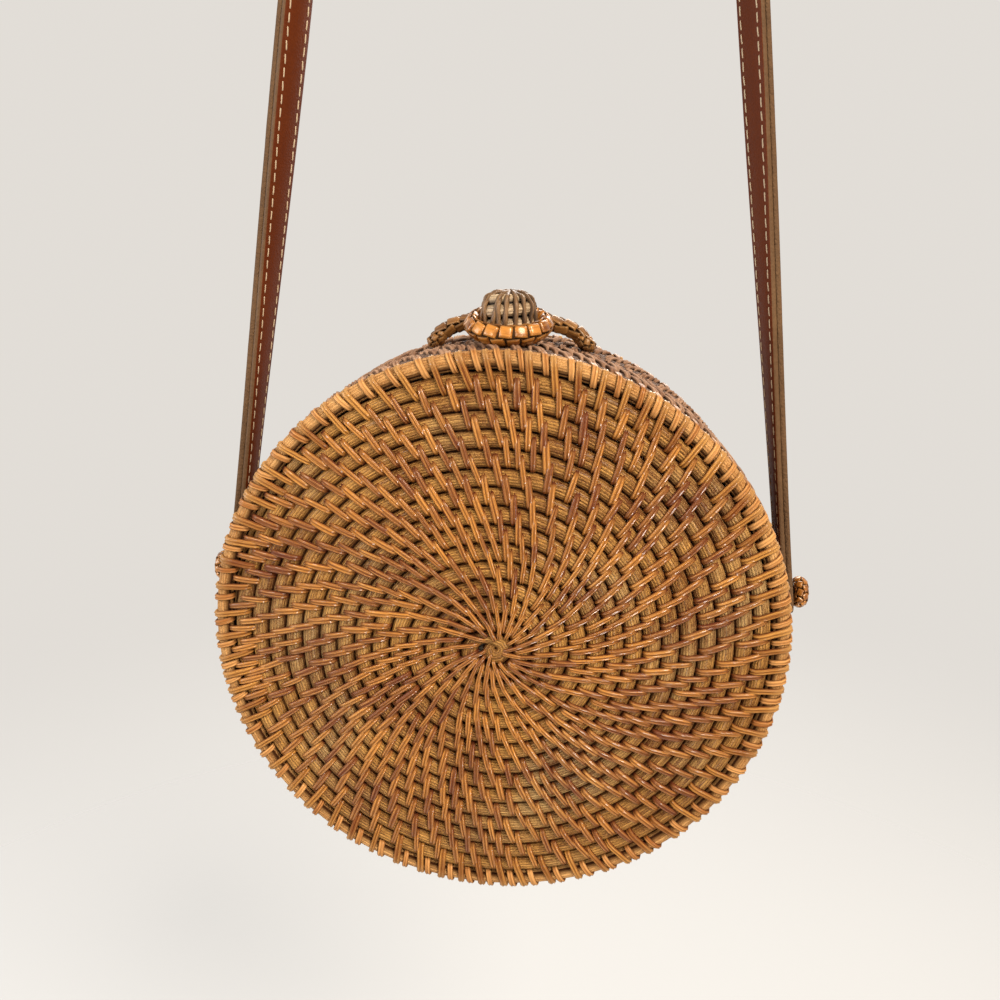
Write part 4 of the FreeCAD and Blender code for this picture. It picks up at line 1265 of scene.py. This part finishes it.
def strapLayer(name, low, high, material):
    rings = []
    walked = 0
    previous = None
    for centre, along, outward, across, rise in strapStations():
        walked += (centre - previous).length if previous else 0
        previous = centre
        endRadius, fromEnd = strap["endRadius"], rise + strap["tab"]
        half = strap["width"] / 2
        if fromEnd < endRadius:
            bow = math.sqrt(max(0.0, endRadius ** 2 - (endRadius - fromEnd) ** 2))
            half = half - endRadius + bow + strap["gap"]
        wear = Vector((walked * strap["raggedAlong"], low * strap["raggedAcross"], strap["raggedSeed"]))
        half += strap["ragged"] * noise.noise(wear)
        rings.append([(centre + across * (a * half) + outward * (low + (high - low) * b), walked,
                       index / (len(layerShape) - 1)) for index, (a, b) in enumerate(layerShape)])
    layer = skins(name, [(rings, False)], material)
    cut = layer.data.attributes.new("cut", "FLOAT", "FACE")
    for index in range((len(rings) - 1) * len(layerShape)):
        cut.data[index].value = float(index % len(layerShape) in cutSides)
    return layer


# Two rows of hand stitches, seen on both sides
thread = dict(colour=(0.50, 0.37, 0.23), rough=0.7, rowOffset=4.5 * mm, pitch=4.25 * mm, length=4.0 * mm,
              width=0.6 * mm, height=0.35 * mm, slant=math.radians(4), slantScatter=(-0.4, 2.0),
              endGap=6 * mm, dive=1.4, steps=7, seed=59, tintSeed=53)
threadFinish = newMaterial("creamThread")[0]
setInputs(threadFinish.node_tree.nodes["Principled BSDF"],
          {"Base Color": (*thread["colour"], 1), "Roughness": thread["rough"]})


def strapThread():
    draws = random.Random(thread["seed"])
    strip = stitchMesh("threadStitch", flatSections(thread["dive"], thread["steps"]), flatCross, 1.0)
    size = (thread["length"], thread["width"], thread["height"])
    stations = strapStations()
    spots = []
    carried = 0
    for before, after in zip(stations, stations[1:]):
        reach = (after[0] - before[0]).length
        while carried < reach:
            part = carried / reach
            centre = before[0].lerp(after[0], part)
            along, outward, across = (before[k].lerp(after[k], part).normalized() for k in (1, 2, 3))
            rise = before[4] + (after[4] - before[4]) * part
            carried += thread["pitch"]
            if rise + strap["tab"] <= thread["endGap"]:
                continue
            for row in (-1, 1):
                for way in (-1, 1):
                    spot = centre + across * (row * thread["rowOffset"])
                    spot += outward * (way * (strap["layer"] + strap["gap"]))
                    aim = along + across * math.tan(thread["slant"] * draws.uniform(*thread["slantScatter"]))
                    spots.append((spot, aim, outward * way, size))
        carried -= reach
    return layStitches("strap_thread", spots, strip, threadFinish, thread["tintSeed"])


strapFace = strapLayer("strap_face", -strap["layer"], -strap["gap"], grainLeather)
strapBacking = strapLayer("strap_backing", strap["gap"], strap["layer"], rawLeather)
settle(strapFace, "strap", ["strap_face_leather"])
settle(strapBacking, "strap", ["strap_backing_leather"])
settle(strapThread(), "strap", ["strap_face_leather"])
print("strap sewn")

# Cotton lining: a round cup in each half with a turned hem
cloth = dict(pale=(0.64, 0.57, 0.45), deep=(0.40, 0.33, 0.23), threads=520, wander=0.6, slubScale=60.0,
             slubDetail=4.0, weaveShare=0.5, slubShare=0.5, rough=0.9, fuzz=0.2, bump=0.4, relief=0.3 * mm)


def cottonMaterial():
    material, tree, shader = newMaterial("naturalCotton")
    place = vectorMath(tree, "MULTIPLY", uvPlace(tree), (cloth["threads"],) * 3)
    waves = {"Vector": place, "Scale": 1.0, "Distortion": cloth["wander"]}
    warp, weft = (addNode(tree, "ShaderNodeTexWave", waves, bands_direction=way).outputs["Fac"]
                  for way in ("X", "Y"))
    weave = mathNode(tree, "MULTIPLY", warp, weft)
    slub = noiseNode(tree, objectPlace(tree), cloth["slubScale"], cloth["slubDetail"])
    blend = mathNode(tree, "ADD", mathNode(tree, "MULTIPLY", weave, cloth["weaveShare"]),
                     mathNode(tree, "MULTIPLY", slub, cloth["slubShare"]))
    colour = mixColour(tree, blend, (*cloth["deep"], 1), (*cloth["pale"], 1))
    link(tree, colour, shader.inputs["Base Color"])
    setInputs(shader, {"Roughness": cloth["rough"], "Sheen Weight": cloth["fuzz"]})
    addBump(tree, shader, cloth["bump"], cloth["relief"], weave)
    return material


cotton = cottonMaterial()
# The floor's shares are of its radius; the bend and the wall come after them
lining = dict(thick=0.5 * mm, around=120, floorShares=(0.0, 0.2, 0.4, 0.6, 0.75, 0.88, 0.94),
              bend=[(0.975, 1.0 * mm), (0.992, 3.2 * mm), (1.0, 7 * mm)], wallShares=(0.75, 0.5, 0.25, 0.0),
              puckers=26, puckerFrom=0.55, puckerGrowth=1.6, wave=0.5 * mm, middle=0.3 * mm, thinWithin=3,
              sag=0.4 * mm, sagScale=3, sagSeed=1.5, sagWithin=0.9)
hem = dict(out=0.75 * mm, back=0.45 * mm, halfWidth=2.2 * mm, halfThick=0.6 * mm, ripple=0.12 * mm,
           ripples=60, sides=8, uvStep=0.0008)


# Radius, and depths from the seam: the rim at the mouth, the floor's middle and how far its edge stands back
def liningDepths(half, sign):
    low, high = (Vector(spot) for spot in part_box(half + "_lining"))
    rim = low.y - bagCentre.y if sign > 0 else bagCentre.y - high.y
    deep = high.y - bagCentre.y if sign > 0 else bagCentre.y - low.y
    crown = frontCrown if half == "front" else 0
    return high.x - bagCentre.x, rim, deep, crown


def liningCup(half, sign):
    radius, rim, deep, crown = liningDepths(half, sign)
    base = deep - crown
    wallTop = base - lining["bend"][-1][1]
    line = [(share, deep - crown * share ** 2) for share in lining["floorShares"]]
    line += [(share, base - drop) for share, drop in lining["bend"]]
    line += [(1.0, rim + (wallTop - rim) * share) for share in lining["wallShares"]]
    walls = [(*spot, 0) for spot in line] + [(*spot, 1) for spot in reversed(line)]
    verts, uvs, faces = [], [], []
    for share, depth, layer in walls:
        thick = layer * lining["thick"]
        for turn in circleTurns(lining["around"]):
            cosine, sine = math.cos(turn), math.sin(turn)
            fold = math.sin(turn * lining["puckers"] + 2 * math.sin(3 * turn)) * lining["wave"]
            pucker = fold * max(0, share - lining["puckerFrom"]) * lining["puckerGrowth"]
            reach = max(lining["middle"], share * (radius - lining["wave"]) - pucker)
            reach -= thick * min(1, share * lining["thinWithin"])
            back = depth - thick
            if share < lining["sagWithin"]:
                spread = share * lining["sagScale"]
                sag = noise.noise(Vector((spread * cosine, spread * sine, lining["sagSeed"])))
                back -= lining["sag"] * sag + lining["sag"]
            verts.append(bagCentre + Vector((cosine * reach, sign * back, sine * reach)))
            unrolled = reach + (base - depth if share >= lining["bend"][0][0] else 0)
            uvs.append((cosine * unrolled, sine * unrolled))
    count = lining["around"]
    for row in range(len(walls) - 1):
        here, there = row * count, (row + 1) * count
        for index in range(count):
            after = (index + 1) % count
            faces.append((here + index, here + after, there + after, there + index))
    faces.append(tuple(range(count)))
    faces.append(tuple(range((len(walls) - 1) * count, len(walls) * count)))
    return meshObject(half + "_lining_cup", verts, faces, uvs, cotton)


def liningHem(half, sign):
    radius, rim = liningDepths(half, sign)[:2]
    rings = []
    for turn in circleTurns(lining["around"]):
        radial = Vector((math.cos(turn), 0, math.sin(turn)))
        spot = bagCentre + radial * (radius + hem["out"]) + Vector((0, sign * (rim - hem["back"]), 0))
        halfWidth = hem["halfWidth"] + hem["ripple"] * math.sin(turn * hem["ripples"])
        points = []
        for index, bend in enumerate(circleTurns(hem["sides"])):
            place = radial * (math.cos(bend) * halfWidth) + Vector((0, math.sin(bend) * hem["halfThick"], 0))
            points.append((spot + place, turn * radius, index * hem["uvStep"]))
        rings.append(points)
    return skins(half + "_lining_edge", [(rings, True)], cotton)


for half, sign in (("front", -1), ("back", 1)):
    cup, edge = liningCup(half, sign), liningHem(half, sign)
    settle(cup, half + "_half", [half + "_lining"])
    settle(edge, half + "_half", [half + "_lining_hem"])
print("lining fitted")

# Camera at the photograph's view, for a square frame
view = dict(place=Vector((19.8, -321.7, 131.3)) * mm, pitch=math.radians(-15.62), yaw=math.radians(-3.95),
            roll=math.radians(1.3), lens=32.4, sensor=36.0, nearest=0.01)


def addCamera():
    forward = Vector((math.sin(view["yaw"]) * math.cos(view["pitch"]),
                      math.cos(view["yaw"]) * math.cos(view["pitch"]), math.sin(view["pitch"])))
    right = forward.cross(upAxis).normalized()
    up = right.cross(forward)
    turnedRight = right * math.cos(view["roll"]) + up * math.sin(view["roll"])
    turnedUp = up * math.cos(view["roll"]) - right * math.sin(view["roll"])
    data = bpy.data.cameras.new("photoCamera")
    data.lens = view["lens"]
    data.sensor_width = view["sensor"]
    data.clip_start = view["nearest"]
    camera = showPiece("photoCamera", data)
    spin = Matrix((turnedRight, turnedUp, -forward)).transposed()
    camera.matrix_world = Matrix.Translation(bagCentre + view["place"]) @ spin.to_4x4()
    bpy.context.scene.camera = camera


# Soft studio light: a warm key from the right, a cool fill from the left and small lamps for glints
lamps = [dict(name="key", place=(0.62, -0.72, 0.95), size=0.65, power=24.5, colour=(1.0, 0.92, 0.82)),
         dict(name="fill", place=(-1.1, -0.25, 0.25), size=0.9, power=12.5, colour=(0.93, 0.96, 1.0)),
         dict(name="glintLow", place=(0.25, -1.0, -0.5), size=0.25, power=3, colour=(1.0, 0.95, 0.88)),
         dict(name="glintLeft", place=(-0.55, -0.85, 0.45), size=0.25, power=3, colour=(1.0, 0.95, 0.88)),
         dict(name="glintRight", place=(0.55, -1.0, -0.08), size=0.25, power=3, colour=(1.0, 0.95, 0.88)),
         dict(name="back", place=(0.2, 1.1, 0.7), size=0.9, power=14, colour=(1.0, 0.97, 0.93))]


def addLamps():
    for lamp in lamps:
        data = bpy.data.lights.new(lamp["name"], "AREA")
        data.shape = "DISK"
        data.size = lamp["size"]
        data.energy = lamp["power"]
        data.color = lamp["colour"]
        light = showPiece(lamp["name"], data)
        light.location = bagCentre + Vector(lamp["place"])
        light.rotation_euler = (bagCentre - light.location).to_track_quat("-Z", "Y").to_euler()


# A pale room behind, and a floor under the bag that keeps its shadow and fades out
room = dict(floorDrop=0.30, floorSize=4.0, floorColour=(0.80, 0.79, 0.77), floorRough=0.9, floorAlpha=0.42,
            fadeFrom=0.25, fadeTo=1.2, light=(0.92, 0.87, 0.80), lightStrength=0.12,
            backdrop=(0.76, 0.725, 0.68))


def addFloor():
    low = cadBox[0][2] - room["floorDrop"]
    reach = room["floorSize"]
    corners = [(-reach, -reach, low), (reach, -reach, low), (reach, reach, low), (-reach, reach, low)]
    floor = meshObject("studio_floor", corners, [(0, 1, 2, 3)], smooth=False)
    material, tree, shader = newMaterial("paleFloor")
    setInputs(shader, {"Base Color": (*room["floorColour"], 1), "Roughness": room["floorRough"]})
    flat = vectorMath(tree, "MULTIPLY", objectPlace(tree), (1, 1, 0))
    far = addNode(tree, "ShaderNodeVectorMath", {0: flat}, operation="LENGTH").outputs["Value"]
    fade = mapRange(tree, far, room["fadeFrom"], room["fadeTo"], room["floorAlpha"], 0.0,
                    interpolation_type="SMOOTHSTEP")
    link(tree, fade, shader.inputs["Alpha"])
    floor.data.materials.append(material)


def addRoom():
    world = bpy.data.worlds.new("studioWorld")
    world.use_nodes = True
    tree = world.node_tree
    lit = tree.nodes["Background"]
    setInputs(lit, {"Color": (*room["light"], 1), "Strength": room["lightStrength"]})
    seen = addNode(tree, "ShaderNodeBackground", {"Color": (*room["backdrop"], 1), "Strength": 1.0})
    rays = addNode(tree, "ShaderNodeLightPath").outputs
    mirrored = mathNode(tree, "MAXIMUM", rays["Is Glossy Ray"], rays["Is Transmission Ray"])
    choose = mathNode(tree, "MAXIMUM", rays["Is Camera Ray"], mirrored)
    shown = addNode(tree, "ShaderNodeMixShader", {0: choose, 1: lit.outputs[0], 2: seen.outputs[0]})
    link(tree, shown.outputs[0], tree.nodes["World Output"].inputs["Surface"])
    bpy.context.scene.world = world


addCamera()
addFloor()
addLamps()
addRoom()
bpy.context.scene.view_settings.view_transform = "Standard"
print("camera and light set")
